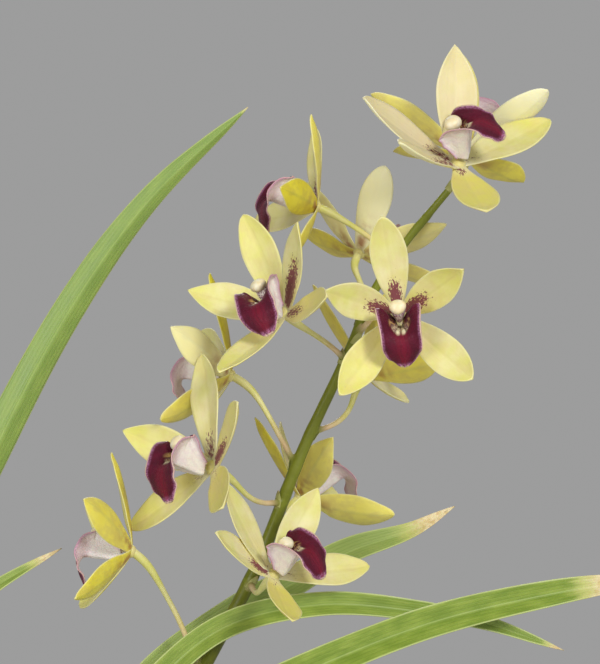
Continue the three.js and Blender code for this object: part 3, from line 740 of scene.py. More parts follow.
# %% [markdown]
# ## Bark and roots
#
# The medium is coarse bark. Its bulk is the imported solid, which only needs the bark finish. Loose
# chips lie on top: five rough chips are modelled as small bevelled blocks, and hundreds of turned and
# resized copies cover the surface, leaving room for the bulbs. A few fleshy roots creep over them.

# %% Bark bulk
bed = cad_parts["growing_medium"]
bed.data.materials.clear()
bed.data.materials.append(bark_finish)
BED_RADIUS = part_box("growing_medium")[1][0] / MM - 3
stem_foot = np.array([-0.2 * (BED_RADIUS + 2), 0.13 * (BED_RADIUS + 2), BED_TOP - 6])

# %% Five chips
rng = np.random.default_rng(11)
chip_masters = []
CHIP_SIZES = [(11, 7, 3.6), (9, 8, 3.0), (14, 6.5, 3.8), (8, 6, 4.2), (12, 9, 3.2)]
for number, chip_size in enumerate(CHIP_SIZES):
    nothing_selected()
    bpy.ops.mesh.primitive_cube_add(size=1)
    chip = named(f"chip_master_{number}")
    chip.scale = Vector(chip_size) * MM
    place_at_origin(chip)
    bpy.ops.object.mode_set(mode="EDIT")
    bpy.ops.mesh.select_all(action="SELECT")
    bpy.ops.mesh.subdivide(number_cuts=1, fractal=1.6 * MM, seed=number + 3)
    bpy.ops.mesh.bevel(offset=0.7 * MM, segments=1, affect="VERTICES")
    bpy.ops.mesh.normals_make_consistent(inside=False)
    bpy.ops.object.mode_set(mode="OBJECT")
    chip_masters.append(chip)

# %% Chips over the surface
bulb_spots = [((low + high) / 2)[:2] for low, high in BULB_BOXES.values()]
chips = []
CHIP_COUNT = 430
while len(chips) < CHIP_COUNT:
    x, y = rng.uniform(-BED_RADIUS, BED_RADIUS, 2)
    turn = rng.uniform(0, 2 * math.pi, 3) * (0.08, 0.08, 1)
    size = rng.uniform(0.75, 1.2)
    lift = rng.uniform(0.2, 4.2)
    tone = rng.uniform(0, 1)
    clear_of_bulbs = all(math.hypot(x - a, y - b) >= 12 for a, b in bulb_spots)
    clear_of_stem = math.hypot(x - stem_foot[0], y - stem_foot[1]) >= 8
    if math.hypot(x, y) > BED_RADIUS - 5 or not clear_of_bulbs or not clear_of_stem:
        continue
    chip = copy_of(chip_masters[len(chips) % len(chip_masters)])
    place = Matrix.Translation(Vector((x, y, BED_TOP + lift)) * MM)
    for axis, angle in zip("XYZ", turn):
        place = place @ Matrix.Rotation(angle, 4, axis)
    chip.data.transform(place @ Matrix.Scale(size, 4))
    set_value(chip, "tone", tone)
    chips.append(chip)
for master in chip_masters:
    bpy.data.objects.remove(master)

bark_top = join(chips, "loose_bark")
finished(bark_top, bark_finish, "bark", angle=40)
print("chips:", len(chips), "pieces,", len(bark_top.data.polygons), "faces")


# %% A round tube along a curve
def tube(name, points, radii, sides=16):
    """Round tube through points, with a radius at each, closed at both ends. All in mm."""
    data = bpy.data.curves.new(name, "CURVE")
    data.dimensions = "3D"
    spline = data.splines.new("POLY")
    spline.points.add(len(points) - 1)
    for point, place, radius in zip(spline.points, points, np.broadcast_to(radii, len(points))):
        point.co = (*(np.asarray(place) * MM), 1)
        point.radius = radius
    data.bevel_depth = MM
    data.bevel_resolution = sides // 4
    data.use_fill_caps = True
    piece = bpy.data.objects.new(name, data)
    bpy.context.collection.objects.link(piece)
    only(piece)
    bpy.ops.object.convert(target="MESH")
    return named(name)


# %% Roots over the bark
root_runs = [
    [(-36, -6, 4), (-30, -22, 9), (-20, -38, 9), (-2, -52, 8), (16, -60, 7), (30, -68, 3)],
    [(24, -34, 5), (36, -44, 9), (50, -48, 8), (62, -40, 8), (72, -28, 4)],
    [(-52, 14, 4), (-60, 30, 9), (-56, 46, 8), (-42, 58, 8), (-30, 66, 3)],
    [(16, 48, 4), (34, 54, 9), (48, 44, 8), (56, 34, 9), (70, 26, 4)],
    [(44, 4, 4), (34, -4, 8), (20, -2, 9), (4, 8, 8), (-6, 22, 7), (-10, 34, 3)],
]
roots = []
for run in root_runs:
    line = curve_points(np.array(run, float) + (0, 0, BED_TOP), 60)
    share = np.linspace(0, 1, len(line))
    line[:, 2] += 0.7 * np.sin(share * 17)
    roots.append(tube("root", line, 1.9 - 0.9 * share + 0.12 * np.sin(share * 40)))
finished(join(roots, "creeping_roots"), root_finish, "bark")

# %% [markdown]
# ## Pseudobulbs and their husks
#
# Each pseudobulb is a fat flattened egg with ribs, which stores water. The feet of old leaves still
# clasp it as dry husks, so each bulb gets five of them, overlapping, each drawn to a point.

# %% A flat grid to bend into blades
def ribbon(name, columns, rows):
    """A grid with its numbers: u from -1 to 1 across, t from 0 to 1 along. Its UV map says the same."""
    nothing_selected()
    bpy.ops.mesh.primitive_grid_add(x_subdivisions=columns, y_subdivisions=rows, size=2)
    piece = named(name)
    points = get_points(piece)
    return piece, points[:, 0], (points[:, 1] + 1) / 2


def thicken(piece, thickness, margin_share, across, **values):
    """Gives a blade its thickness, thinner at the margins, and stores its inner face and the values."""
    points = get_points(piece)
    count = len(points)
    normals = np.empty(count * 3)
    piece.data.vertices.foreach_get("normal", normals)
    normals = normals.reshape(-1, 3)
    weights = piece.vertex_groups.new(name="thickness")
    for index, weight in enumerate(1 - (1 - margin_share) * np.abs(across)**3):
        weights.add([index], float(weight), "REPLACE")
    solid = piece.modifiers.new("thickness", "SOLIDIFY")
    solid.thickness = thickness * MM
    solid.offset = 0
    solid.vertex_group = "thickness"
    apply_modifiers(piece)
    piece.vertex_groups.clear()
    new_points = get_points(piece)
    assert len(new_points) == 2 * count, "a blade has one point on each face"
    side = ((new_points[:count] - points) * normals).sum(1)
    first_is_inner = float(side.mean() > 0)
    set_value(piece, "inner", np.repeat([first_is_inner, 1 - first_is_inner], count))
    for name, value in values.items():
        set_value(piece, name, np.tile(np.broadcast_to(value, count), 2))


# %% Bulbs
BULB_OUTLINE = ([0, 0.04, 0.12, 0.25, 0.38, 0.55, 0.72, 0.86, 0.95, 1.0],
                [0.30, 0.58, 0.84, 0.97, 1.0, 0.93, 0.76, 0.56, 0.42, 0.05])
BULB_TURN = {"left": 80, "front": 10, "back": -15, "right": 60}
BULB_SIZE = {"left": 1.0, "front": 1.0, "back": 0.94, "right": 0.88}
BULB_RADIUS, BULB_FLATNESS = 16.6, 0.78
HUSK_TOPS = (0.52, 0.66, 0.8, 0.93, 0.99)           # how far up the bulb each husk reaches
HUSK_HALF_WRAP = 118                                # degrees round the bulb, to each side
RIBS, RIB_HEIGHT = 12, 0.42


def bulb_middle(where):
    low, high = BULB_BOXES[where]
    return ((low + high) / 2)[:2]


def bulb_skin(where, angle, share, proud=0.0):
    """Points on a bulb's skin, or that far outside it, in mm."""
    low, high = BULB_BOXES[where]
    centre = bulb_middle(where)
    radius = smooth(*BULB_OUTLINE, share) * BULB_RADIUS * BULB_SIZE[where] + proud
    turn = math.radians(BULB_TURN[where])
    x, y = radius * np.cos(angle), radius * np.sin(angle) * BULB_FLATNESS
    z = low[2] + share * (high[2] - low[2])
    return np.column_stack([centre[0] + x * math.cos(turn) - y * math.sin(turn),
                            centre[1] + x * math.sin(turn) + y * math.cos(turn), z])


husks = []
for number, where in enumerate(BULB_BOXES, 1):
    bulb, ball = round_ball(f"bulb_body_{number}", 72, 40)
    angle = np.arctan2(ball[:, 1], ball[:, 0])
    share = (np.clip(ball[:, 2], -1, 1) + 1) / 2
    rib = RIB_HEIGHT * np.cos(RIBS * angle) * np.sin(math.pi * share) ** 0.7
    shaped = bulb_skin(where, angle, share, rib)
    shaped[at_pole(ball), :2] = bulb_middle(where)
    set_points(bulb, shaped * MM)
    finished(bulb, bulb_finish, "bulb", f"pseudobulb_{number}")
    for index, top in enumerate(HUSK_TOPS):
        husk, u, t = ribbon("husk", 26, 20)
        middle = index * 2.4 + number
        half = np.radians(HUSK_HALF_WRAP) * (1 - t**2.2) ** 0.8
        wave = 0.5 * np.sin(5 * u + index) * t
        angle = middle + u * half + 0.05 * np.sin(9 * t)
        points = bulb_skin(where, angle, t * top, 0.8 + 0.45 * index + wave + 1.2 * t**4)
        points[:, 2] += -1.5 + 0.8 * index * (1 - t)
        set_points(husk, points * MM)
        thicken(husk, 0.35, 0.5, u)
        husks.append((index, husk))
dry_husks = join([husk for index, husk in husks if index < 3], "dry_bulb_husks")
green_husks = join([husk for index, husk in husks if index >= 3], "green_bulb_husks")
finished(dry_husks, dry_husk_finish, "sheath")
finished(green_husks, green_husk_finish, "sheath")
print("husks:", len(husks))

# %% [markdown]
# ## Leaves
#
# A strap leaf is a long folded ribbon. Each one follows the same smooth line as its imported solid: the
# grid's rows are set along the line, the fold lifts both margins, and the foot is pinched into a deep
# V that clasps the bulb. The tip narrows to a point, and some tips are dry.

# %% Lines of the thirteen leaves
LEAF_THICKNESS, LEAF_GAP = 1.3, 0.35
LEAF_OUTLINE = ([0, 0.06, 0.14, 0.24, 0.34, 0.45, 0.56, 0.66, 0.76, 0.85, 0.93, 0.975, 1.0],
                [0.50, 0.55, 0.68, 0.85, 0.95, 1.0, 1.0, 0.96, 0.87, 0.72, 0.47, 0.24, 0.02])
leaves = [
    ("left", (5, 2), 18, (0, 74), [(-40, 2, 150), (-28, 0, 250), (-5, -2, 335), (20, -2, 392), (57, -3, 460),
                                   (95, -4, 512), (144, -5, 558)]),
    ("front", (-3, 5), 13.4, (0, -72), [(10, -15, 100), (31, -16, 160), (61, -16, 222), (105, -16, 279),
                                      (135, -15, 301), (181, -14, 311), (225, -12, 308), (260, -11, 302),
                                      (301, -10, 288)]),
    ("front", (4, -1), 17, (0, -74), [(36, -27, 140), (62, -31, 192), (102, -32, 238), (140, -31, 264),
                                      (173, -31, 280), (235, -30, 304), (295, -28, 318), (333, -26, 324)]),
    ("back", (0, -3), 19.5, (0, -70), [(22, 32, 150), (56, 26, 216), (98, 20, 272), (140, 17, 304),
                                     (165, 16, 318), (195, 15, 335), (227, 14, 346), (248, 13, 358)]),
    ("left", (-1, 4), 11, (0, -60), [(-56, 4, 150), (-54, -8, 210), (-38, -16, 264), (-11, -18, 297),
                                     (20, -16, 320), (52, -14, 339)]),
    ("right", (2, -1), 17, (0, 12), [(86, 15, 142), (130, 20, 198), (185, 27, 232), (240, 34, 236),
                                     (285, 42, 200)]),
    ("right", (4, -6), 16, (0, -10), [(92, -8, 122), (135, -40, 165), (185, -74, 176), (232, -104, 148)]),
    ("right", (0, 6), 16, (0, 12), [(84, 48, 136), (122, 88, 190), (165, 128, 206), (208, 165, 184)]),
    ("back", (2, 5), 17, (0, 14), [(8, 76, 150), (10, 122, 214), (12, 172, 236), (14, 222, 212),
                                   (16, 260, 166)]),
    ("back", (-6, 2), 16, (0, -12), [(-38, 66, 150), (-76, 104, 220), (-118, 142, 250), (-162, 174, 234),
                                     (-200, 200, 186)]),
    ("left", (-8, -2), 17, (0, 14), [(-84, 0, 146), (-127, -6, 212), (-172, -12, 238), (-216, -18, 216),
                                     (-252, -22, 164)]),
    ("left", (-2, -6), 16, (0, -10), [(-72, -36, 136), (-108, -79, 184), (-145, -122, 194),
                                      (-180, -160, 160)]),
    ("front", (0, -7.5), 16, (0, 10), [(20, -64, 136), (30, -112, 180), (42, -160, 184), (54, -204, 146)]),
]
# by leaf number: dry share of the length, width kept at the foot by a broad leaf, a fuller tip, paler tone
DRY_REACH = {3: 0.055, 4: 0.065, 5: 0.05, 1: 0.006, 7: 0.05, 10: 0.06, 12: 0.04}
SLIM_FOOT = {3: 0.94, 4: 0.72}
BLUNT_TIP = {3: 0.45}
LEAF_TONE = {4: 0.75, 2: 0.15, 1: 0.1, 5: 0.3, 9: 0.3, 11: 0.2, 13: 0.35}

# %% Leaf blades
FOLD, FOOT_FOLD, RIPPLE = 0.21, 0.30, 0.022        # shares of the width
ROOT_SHARE = 0.045                                 # length that goes down inside the husks
TURN_SHARE = 0.45                                  # where a leaf has turned to its final face
LEAF_ROWS = 110
for number, (where, start, width, turns, path) in enumerate(leaves, 1):
    bulb_top = BULB_BOXES[where][1][2]
    foot = np.array([*bulb_middle(where) + start, bulb_top + LEAF_GAP + LEAF_THICKNESS / 2])
    line = curve_points([foot, *(np.array(path, float) + (0, 0, BED_TOP))])
    blade, u, s = ribbon(f"leaf_blade_{number:02d}", 14, LEAF_ROWS)
    t = s * (1 + ROOT_SHARE) - ROOT_SHARE              # below 0 the blade goes down inside its husk
    at, along = along_curve(line, t)
    length = np.linalg.norm(np.diff(line, axis=0), axis=1).sum()
    below = np.minimum(t, 0)[:, None] * length
    at = at + below * (along * 0.6 + np.array([0, 0, 0.4]))
    level = np.cross(along, [0, 0, 1])
    level /= np.linalg.norm(level, axis=1, keepdims=True)
    face = np.cross(level, along)
    settled = np.clip(t / TURN_SHARE, 0, 1)
    roll = np.radians(turns[0] + (turns[1] - turns[0]) * settled)[:, None]
    across = level * np.cos(roll) + face * np.sin(roll)
    facing = np.cross(across, along)
    slim = SLIM_FOOT.get(number, 1.0)
    slim = slim + (1 - slim) * settled
    fullness = smooth(*LEAF_OUTLINE, t) ** np.where(t > TURN_SHARE, BLUNT_TIP.get(number, 1.0), 1.0)
    wide = width * slim * fullness
    clasp = 1 - step_up(0.0, 0.12, t)
    lean = 1 - 0.45 * clasp * np.abs(u)
    rise = wide * (FOLD + FOOT_FOLD * clasp) * (np.sqrt(u**2 + 0.012) - 0.11) / 0.9
    waves = np.sin(46 * t + 1.7 * number + 0.9 * np.sign(u))
    ripple = RIPPLE * wide * waves * np.abs(u) ** 2 * step_up(0.15, 0.4, t)
    points = at + across * (u * wide / 2 * lean)[:, None] + facing * (rise + ripple)[:, None]
    set_points(blade, points * MM)
    dry = step_up(1 - 1.5 * DRY_REACH.get(number, 0.02), 1 - 0.35 * DRY_REACH.get(number, 0.02), t)
    margin = np.minimum((1 - np.abs(u)) * wide / 2, (1 - t) * length)
    thicken(blade, 0.75, 0.5, u, dry=dry, tone=LEAF_TONE.get(number, 0.0), margin=margin)
    finished(blade, leaf_finish, "leaf", f"leaf_{number:02d}")
print("leaves:", len(leaves))

# %% [markdown]
# ## Flower stem and stalks
#
# The stem and the twelve stalks of its blooms are one fleshy piece. Each is laid as a round tube along
# its own line, with the swelling of the seed pod behind every bloom. A fine remesh then melts them
# together, and smoothing rounds the joints, which no hand-built joint would do so softly.

# %% Stem line
STEM_POINTS = [(2, 10, 44), (24, 8, 94), (53, 6, 150), (86, 3, 211), (122, 0, 279), (148, -1, 328),
               (171, 0, 386), (193, 1, 433), (208, 0, 468), (223, 0, 491), (236, -1, 507), (246, -5, 519)]
STEM_FOOT_RADIUS, STEM_TOP_RADIUS = 5.4, 1.9
stem_line = curve_points([stem_foot, *(np.array(STEM_POINTS, float) + (0, 0, BED_TOP))])


def stem_radius(t):
    return STEM_FOOT_RADIUS + (STEM_TOP_RADIUS - STEM_FOOT_RADIUS) * np.asarray(t, float) ** 1.3


# %% The twelve blooms
# at: middle of the bloom; faces: compass turn (right is positive) and tilt up; roll: lean to its left;
# lip: how far the lip is raised; size: length of a sepal; stem: where its stalk leaves;
# tepals: (angle round the bloom, how far it closes forward) for the dorsal sepal, right petal, left
# petal, right sepal and left sepal, and sometimes how far the blade turns on its own line; via: points
# that the stalk bends through; lip_size and lip_roll: a smaller lip, and one rolled on its line.
blooms = [
    dict(at=(87, -22, 338), faces=(-90, 13), roll=10, lip=0, size=50, stem=0.53,
         via=[(108, -6, 308), (98, -15, 324)], tepals=[(-8, 24), (66, 32), (-61, 37), (131, 22), (-128, 23)]),
    dict(at=(157, -38, 328), faces=(40, 38), roll=24, lip=12, size=52, stem=0.62,
         via=[(148, -14, 316)], tepals=[(-16, 30), (67, 28), (-52, 27), (120, 11), (-125, 27)]),
    dict(at=(127, -35, 380), faces=(-54, 18), roll=11, lip=5, size=58, stem=0.693,
         via=[(152, -9, 360), (144, -18, 364)], tepals=[(-8, 12), (70, 25), (-67, 23), (125, 21), (-115, 6)]),
    dict(at=(170, 44, 361), faces=(100, 43), roll=13, lip=0, size=52, stem=0.7,
         via=[(162, 22, 357)], tepals=[(-9, 10), (60, 26), (-54, 33), (122, 22), (-126, 28, 35)]),
    dict(at=(135, 12, 424), faces=(-102, 16), roll=-1, lip=0, size=52, stem=0.725,
         via=[(162, 4, 390), (150, 9, 411)], tepals=[(-7, 27), (66, 31), (-69, 36), (124, 19), (-115, 21)]),
    dict(at=(162, -32, 455), faces=(-39, 27), roll=31, lip=0, size=54, stem=0.825,
         via=[(183, -12, 441)], tepals=[(2, 24), (66, 41), (-55, 20), (130, 29), (-148, 33)]),
    dict(at=(218, -42, 454), faces=(-2, -4), roll=7, lip=0, size=52, stem=0.845,
         via=[(214, -18, 461)], tepals=[(-2, 22), (60, 41), (-61, 42), (136, 31), (-134, 29)]),
    dict(at=(200, 20, 486), faces=(135, 42), roll=24, lip=0, size=50, stem=0.86,
         via=[(202, 10, 470)], tepals=[(-11, 25), (70, 24), (-71, 26), (112, 15), (-128, 24)]),
    dict(at=(178, 8, 509), faces=(-74, 18), roll=-20, lip=8, lip_roll=24, size=52, stem=0.92,
         via=[(206, 4, 493), (192, 8, 502)], tepals=[(15, 25), (74, 36), (-50, 8), (108, 15), (-123, 17)]),
    dict(at=(248, -15, 529), faces=(11, 49), roll=67, lip=12, lip_size=0.87, size=62, stem=1,
         via=[], tepals=[(-17, 33), (68, 47), (-58, 34), (125, 2), (-114, 16)]),
    dict(at=(255, 35, 538), faces=(-179, 58), roll=-72, lip=0, size=56, stem=0.965,
         via=[(248, 18, 520)], tepals=[(0, 27), (62, 28), (-62, 58), (145, 13), (-114, 9)]),
    dict(at=(204, 20, 424), faces=(105, 35), roll=-20, lip=20, size=52, stem=0.757,
         via=[(190, 9, 400), (198, 16, 411)], tepals=[(-12, 2), (62, 30), (-62, 30), (107, 21), (-118, 25)]),
]
HUB_RADIUS = 4.4                    # fleshy middle of a bloom, for a sepal of 54 mm
FULL_SIZE = 54.0


def bloom_place(bloom):
    """Turns and moves a bloom drawn with x to its side, y to its top and z to its front, in mm."""
    turn, tilt = (math.radians(angle) for angle in bloom["faces"])
    front = Vector((math.sin(turn) * math.cos(tilt), -math.cos(turn) * math.cos(tilt), math.sin(tilt)))
    upright = (Vector((0, 0, 1)) - front * front.z).normalized()
    level = upright.cross(front)
    lean = math.radians(bloom["roll"])
    top = upright * math.cos(lean) - level * math.sin(lean)
    side = level * math.cos(lean) + upright * math.sin(lean)
    centre = Vector(bloom["at"]) + Vector((0, 0, BED_TOP))
    turned = Matrix((side, top, front)).transposed().to_4x4()
    return Matrix.Translation(centre * MM) @ turned @ Matrix.Scale(bloom["size"] / FULL_SIZE * MM, 4)


# %% Stem and stalks
STALK_SOFTENING = 220
STALK_RADIUS, STALK_FOOT, SEED_POD = 1.55, 0.75, 0.75      # what its foot and the pod add to a stalk
NODE_RING = 0.28                                  # how far the rings on the stem stand out
MELT_GRAIN = 0.62
stem_share = np.linspace(0, 1, 160)
nodes_at = (0.16, 0.33, 0.47, 0.53, 0.62, 0.70, 0.725, 0.757, 0.825, 0.86, 0.92, 0.955)
swell = sum(NODE_RING * np.exp(-(((stem_share - spot) / 0.006) ** 2)) for spot in nodes_at)
parts = [tube("stem_tube", along_curve(stem_line, stem_share)[0], stem_radius(stem_share) + swell, 24)]
stalk_lines = []
for bloom in blooms:
    place = bloom_place(bloom)
    hub = HUB_RADIUS * bloom["size"] / FULL_SIZE
    centre = np.array(place.translation) / MM
    front = np.array(place.col[2][:3]) / MM / (bloom["size"] / FULL_SIZE)
    start = along_curve(stem_line, [bloom["stem"]])[0][0]
    via = [np.array(point, float) + (0, 0, BED_TOP) for point in bloom["via"]]
    line = curve_points([start, *via, centre - front * (hub + 5.35), centre - front * (hub * 0.2)], 70)
    for _ in range(STALK_SOFTENING):             # a real stalk has no sharp bend
        line[1:-1] += 0.5 * (0.5 * (line[:-2] + line[2:]) - line[1:-1])
    share = np.linspace(0, 1, len(line))
    radius = STALK_RADIUS + STALK_FOOT * np.exp(-((share / 0.10) ** 2)) + SEED_POD * step_up(0.55, 0.92, share)
    parts.append(tube("stalk_tube", line, radius, 16))
    stalk_lines.append(line)
stem_piece = join(parts, "stem_and_stalks")
melt = stem_piece.modifiers.new("melt", "REMESH")
melt.mode, melt.voxel_size = "VOXEL", MELT_GRAIN * MM
soften = stem_piece.modifiers.new("soften", "SMOOTH")
soften.factor, soften.iterations = 0.5, 12
apply_modifiers(stem_piece)
print("stem:", len(stem_piece.data.polygons), "faces")

# %% Where a point is on the stem: how far it is a stalk, how near its bloom, how high
tree_points = [(point, 0.0, share) for point, share in zip(stem_line, np.linspace(0, 1, len(stem_line)))]
for line in stalk_lines:
    tree_points += [(point, 1.0, share) for point, share in zip(line, np.linspace(0, 1, len(line)))]
kd = KDTree(len(tree_points))
for index, (point, _, _) in enumerate(tree_points):
    kd.insert(Vector(point), index)
kd.balance()
stem_points = get_points(stem_piece) / MM
near = np.array([kd.find(Vector(point))[1] for point in stem_points])
kinds = np.array([kind for _, kind, _ in tree_points])[near]
shares = np.array([share for _, _, share in tree_points])[near]
set_value(stem_piece, "stalk", kinds * step_up(0.04, 0.22, shares))
set_value(stem_piece, "towards_bloom", step_up(0.08, 0.6, shares))
set_value(stem_piece, "height", step_up(0.45, 1.0, np.where(kinds > 0, 0.8, shares)))
finished(stem_piece, stem_finish, "stem", "flower_stem")

# %% [markdown]
# ## Sheaths and bracts
#
# Three papery sheaths hug the lower stem, and a small bract sits under the foot of every stalk. They
# are ribbons wrapped round the stem's line, wide at the foot and drawn to a point.

# %% A point beside the stem
def beside_stem(t, angle, reach):
    at, along = along_curve(stem_line, t)
    side = np.array([0, 1.0, 0]) - along * along[:, 1:2]
    side /= np.linalg.norm(side, axis=1, keepdims=True)
    other = np.cross(along, side)
    return at + side * (reach * np.cos(angle))[:, None] + other * (reach * np.sin(angle))[:, None]


# %% Sheaths
SHEATHS = [(0.04, 0.15, -90), (0.2, 0.32, 90), (0.36, 0.46, -70)]    # from, to, and the side it grows on
for number, (low_share, high_share, middle) in enumerate(SHEATHS, 1):
    wrap, u, v = ribbon(f"papery_sheath_{number}", 36, 40)
    half = np.radians(130 - 100 * v**2) * (1 - v**9)
    reach = stem_radius(low_share) + 0.8 + 2.4 * v**2 + 0.25 * np.sin(5 * u + 6 * v)
    points = beside_stem(low_share + (high_share - low_share) * v, math.radians(middle) + u * half, reach)
    set_points(wrap, points * MM)
    thicken(wrap, 0.5, 0.5, u)
    finished(wrap, green_husk_finish, "sheath", f"sheath_{number}")

# %% Bracts
bracts = []
for bloom, line in zip(blooms, stalk_lines):
    stem_at, stem_way = along_curve(stem_line, [bloom["stem"]])
    out = line[8] - stem_at[0]
    out -= stem_way[0] * (out @ stem_way[0])
    out /= np.linalg.norm(out) + 1e-9
    sideways = np.cross(stem_way[0], out)
    bract, u, v = ribbon("bract", 10, 16)
    wide = 2.5 * (1 - v**1.6) + 0.05
    skin_radius = float(stem_radius(bloom["stem"])) + 0.35
    angle = u * wide / skin_radius
    reach = skin_radius + 2.2 * v**1.8
    points = (stem_at[0] + stem_way[0] * (-3.2 + 8.0 * v)[:, None]
              + out * (reach * np.cos(angle))[:, None] + sideways * (reach * np.sin(angle))[:, None])
    set_points(bract, points * MM)
    thicken(bract, 0.3, 0.6, u)
    bracts.append(bract)
finished(join(bracts, "stalk_bracts"), green_husk_finish, "sheath")

# %% [markdown]
# ## Petals and sepals
#
# A bloom has three sepals and two petals, all alike in build: a cupped blade, widest past the middle.
# A sepal is blunt and broad, a petal slimmer with a sharper tip. Both are modelled once and copied to
# every place, and each copy gets its own slight twist, sweep and ripple, as no two are quite the same.

# %% Two master blades
TEPAL_SHAPES = {
    "sepal": (1.0, 0.345, ([0, 0.06, 0.16, 0.34, 0.55, 0.72, 0.84, 0.92, 0.965, 0.99, 1.0],
                           [0.32, 0.37, 0.52, 0.81, 1.0, 0.97, 0.80, 0.56, 0.34, 0.16, 0.03])),
    "petal": (0.95, 0.335, ([0, 0.06, 0.16, 0.34, 0.54, 0.70, 0.83, 0.91, 0.96, 0.99, 1.0],
                            [0.34, 0.40, 0.57, 0.87, 1.0, 0.94, 0.72, 0.46, 0.24, 0.09, 0.02])),
}
ROWS, COLUMNS = 40, 16
CUP, KEEL, HOOD = 0.13, 0.25, 0.9          # share of the width, then mm


def flame(u, t, strength, reach):
    """Strength of the dark red dots: solid along the middle near the foot, loose at the fringe."""
    out = np.clip(t / reach, 0, 1)
    middle = 1 - np.clip(np.abs(u) / (0.95 - 0.40 * out), 0, 1) ** 2
    return np.clip(1.25 * strength * middle * (1 - out**2.4), 0, 0.95) * step_up(0.02, 0.10, t)


masters = {}
MIDLINE_SHARES = np.linspace(0, 1, 200)
bend = np.radians(-8 + 17 * MIDLINE_SHARES)
for kind, (length_share, width_share, outline) in TEPAL_SHAPES.items():
    blade, u, t = ribbon(f"master_{kind}", COLUMNS, ROWS)
    length, wide = FULL_SIZE * length_share, FULL_SIZE * width_share * smooth(*outline, t)
    step = length / (len(bend) - 1)
    reach_out, midline_heights = (np.concatenate([[0], np.cumsum(way(bend[1:]) * step)])
                                  for way in (np.cos, np.sin))
    cup = CUP * wide * np.minimum(3 * t + 0.15, 1) * np.abs(u) ** 1.8
    keel = -KEEL * np.exp(-((u / 0.09) ** 2)) * step_up(0.03, 0.2, t) * (1 - step_up(0.8, 1, t))
    hood = HOOD * step_up(0.82, 1.0, t)
    points = np.column_stack([u * wide / 2, np.interp(t, MIDLINE_SHARES, reach_out),
                              np.interp(t, MIDLINE_SHARES, midline_heights) + cup + keel + hood])
    set_points(blade, points * MM)
    margin = np.minimum((1 - np.abs(u)) * wide / 2, (1 - t) * length * 0.8)
    thicken(blade, 1.05, 0.42, u, margin=margin)
    masters[kind] = (blade, np.tile(u, 2), np.tile(t, 2), length)

# %% Sixty copies, each a little different
KINDS = ("sepal", "petal", "petal", "sepal", "sepal")
SPLASH = [(0.62, 0.34), (0.78, 0.46), (0.78, 0.46), (0.25, 0.28), (0.25, 0.28)]    # strength, reach
# blades, named by bloom and place, with a splash of their own, a stronger yellow or a paler cream
OWN_SPLASH = {(6, 1): (1.0, 0.66), (6, 3): (0.7, 0.42), (3, 1): (1.0, 0.46), (7, 0): (1.1, 0.38),
              (7, 1): (1.0, 0.46), (7, 2): (1.0, 0.46), (6, 0): (0.2, 0.2), (10, 1): (0.6, 0.42),
              (10, 2): (0.6, 0.42), (6, 2): (0.2, 0.3), (2, 2): (1.0, 0.40), (2, 0): (0.3, 0.2),
              (10, 4): (0.7, 0.20), (9, 0): (0.8, 0.40)}
STRONG_YELLOW = {(2, 4): 1.1, (3, 3): 1.1, (3, 1): 0.8, (6, 3): 1.0, (10, 4): 1.25}
PALE = {(10, 0): 1.0, (10, 1): 0.8, (10, 2): 0.8, (8, 0): 1.0, (8, 1): 0.7, (8, 2): 0.5, (11, 4): 1.0,
        (5, 1): 0.7, (4, 2): 0.25}
rng = np.random.default_rng(23)


def petal_copy(bloom, number, index, place):
    master, u, t, length = masters[KINDS[index]]
    copy = copy_of(master)
    twist, sweep, curl = rng.normal(0, 1, 3) * (0.05, 0.016, 0.018)
    phase, tone, sharp, pale = rng.uniform(0, 1, 4) * (2 * math.pi, 0.5, 0.30, 0.35)
    points = get_points(copy) / MM
    angle = twist * t
    points[:, 0] *= 1 - sharp * step_up(0.60, 0.98, t)
    x = points[:, 0] * np.cos(angle) + sweep * length * t**2
    z = points[:, 2] + points[:, 0] * np.sin(angle) + curl * length * t**2.5
    z += 0.38 * np.sin(7.5 * t + phase + 1.3 * np.sign(u)) * np.abs(u) ** 2.5 * step_up(0.1, 0.4, t)
    round_bloom, close, *turn = bloom["tepals"][index]
    roll = np.radians(turn[0] if turn else 0) * np.minimum(t / 0.3, 1)
    middle = np.interp(t, MIDLINE_SHARES, midline_heights)
    points[:, 0] = x * np.cos(roll) - (z - middle) * np.sin(roll)
    points[:, 2] = middle + x * np.sin(roll) + (z - middle) * np.cos(roll)
    set_points(copy, points * MM)
    set_value(copy, "splash", flame(u, t, *OWN_SPLASH.get((number, index), SPLASH[index])))
    set_value(copy, "tone", STRONG_YELLOW.get((number, index), tone))
    set_value(copy, "pale", PALE.get((number, index), pale))
    foot = 1.6 / (bloom["size"] / FULL_SIZE)
    local = (Matrix.Rotation(-math.radians(round_bloom), 4, "Z") @ Matrix.Translation((0, foot, 0))
             @ Matrix.Rotation(math.radians(close), 4, "X"))
    copy.data.transform(place @ local @ Matrix.Scale(1 / MM, 4))
    return copy


def bloom_heart(place):
    """The rounded top of the stalk that the blades grow from."""
    heart, ball = round_ball("heart", 24, 14)
    set_points(heart, ball * (3.5, 3.5, 2.6))
    heart.data.transform(place)
    for name, value in (("inner", 0.6), ("splash", 0.0), ("tone", 0.2), ("margin", 9.0), ("pale", 0.3)):
        set_value(heart, name, value)
    return heart


for number, bloom in enumerate(blooms, 1):
    place = bloom_place(bloom)
    blades = [petal_copy(bloom, number, index, place) for index in range(5)]
    petals = join([*blades, bloom_heart(place)], f"bloom_{number:02d}_petals")
    finished(petals, petal_finish, "tepal", f"bloom_{number:02d}_tepals")
for blade, *_ in masters.values():
    bpy.data.objects.remove(blade)
print("blooms:", len(blooms), "with", len(petals.data.polygons), "faces each")

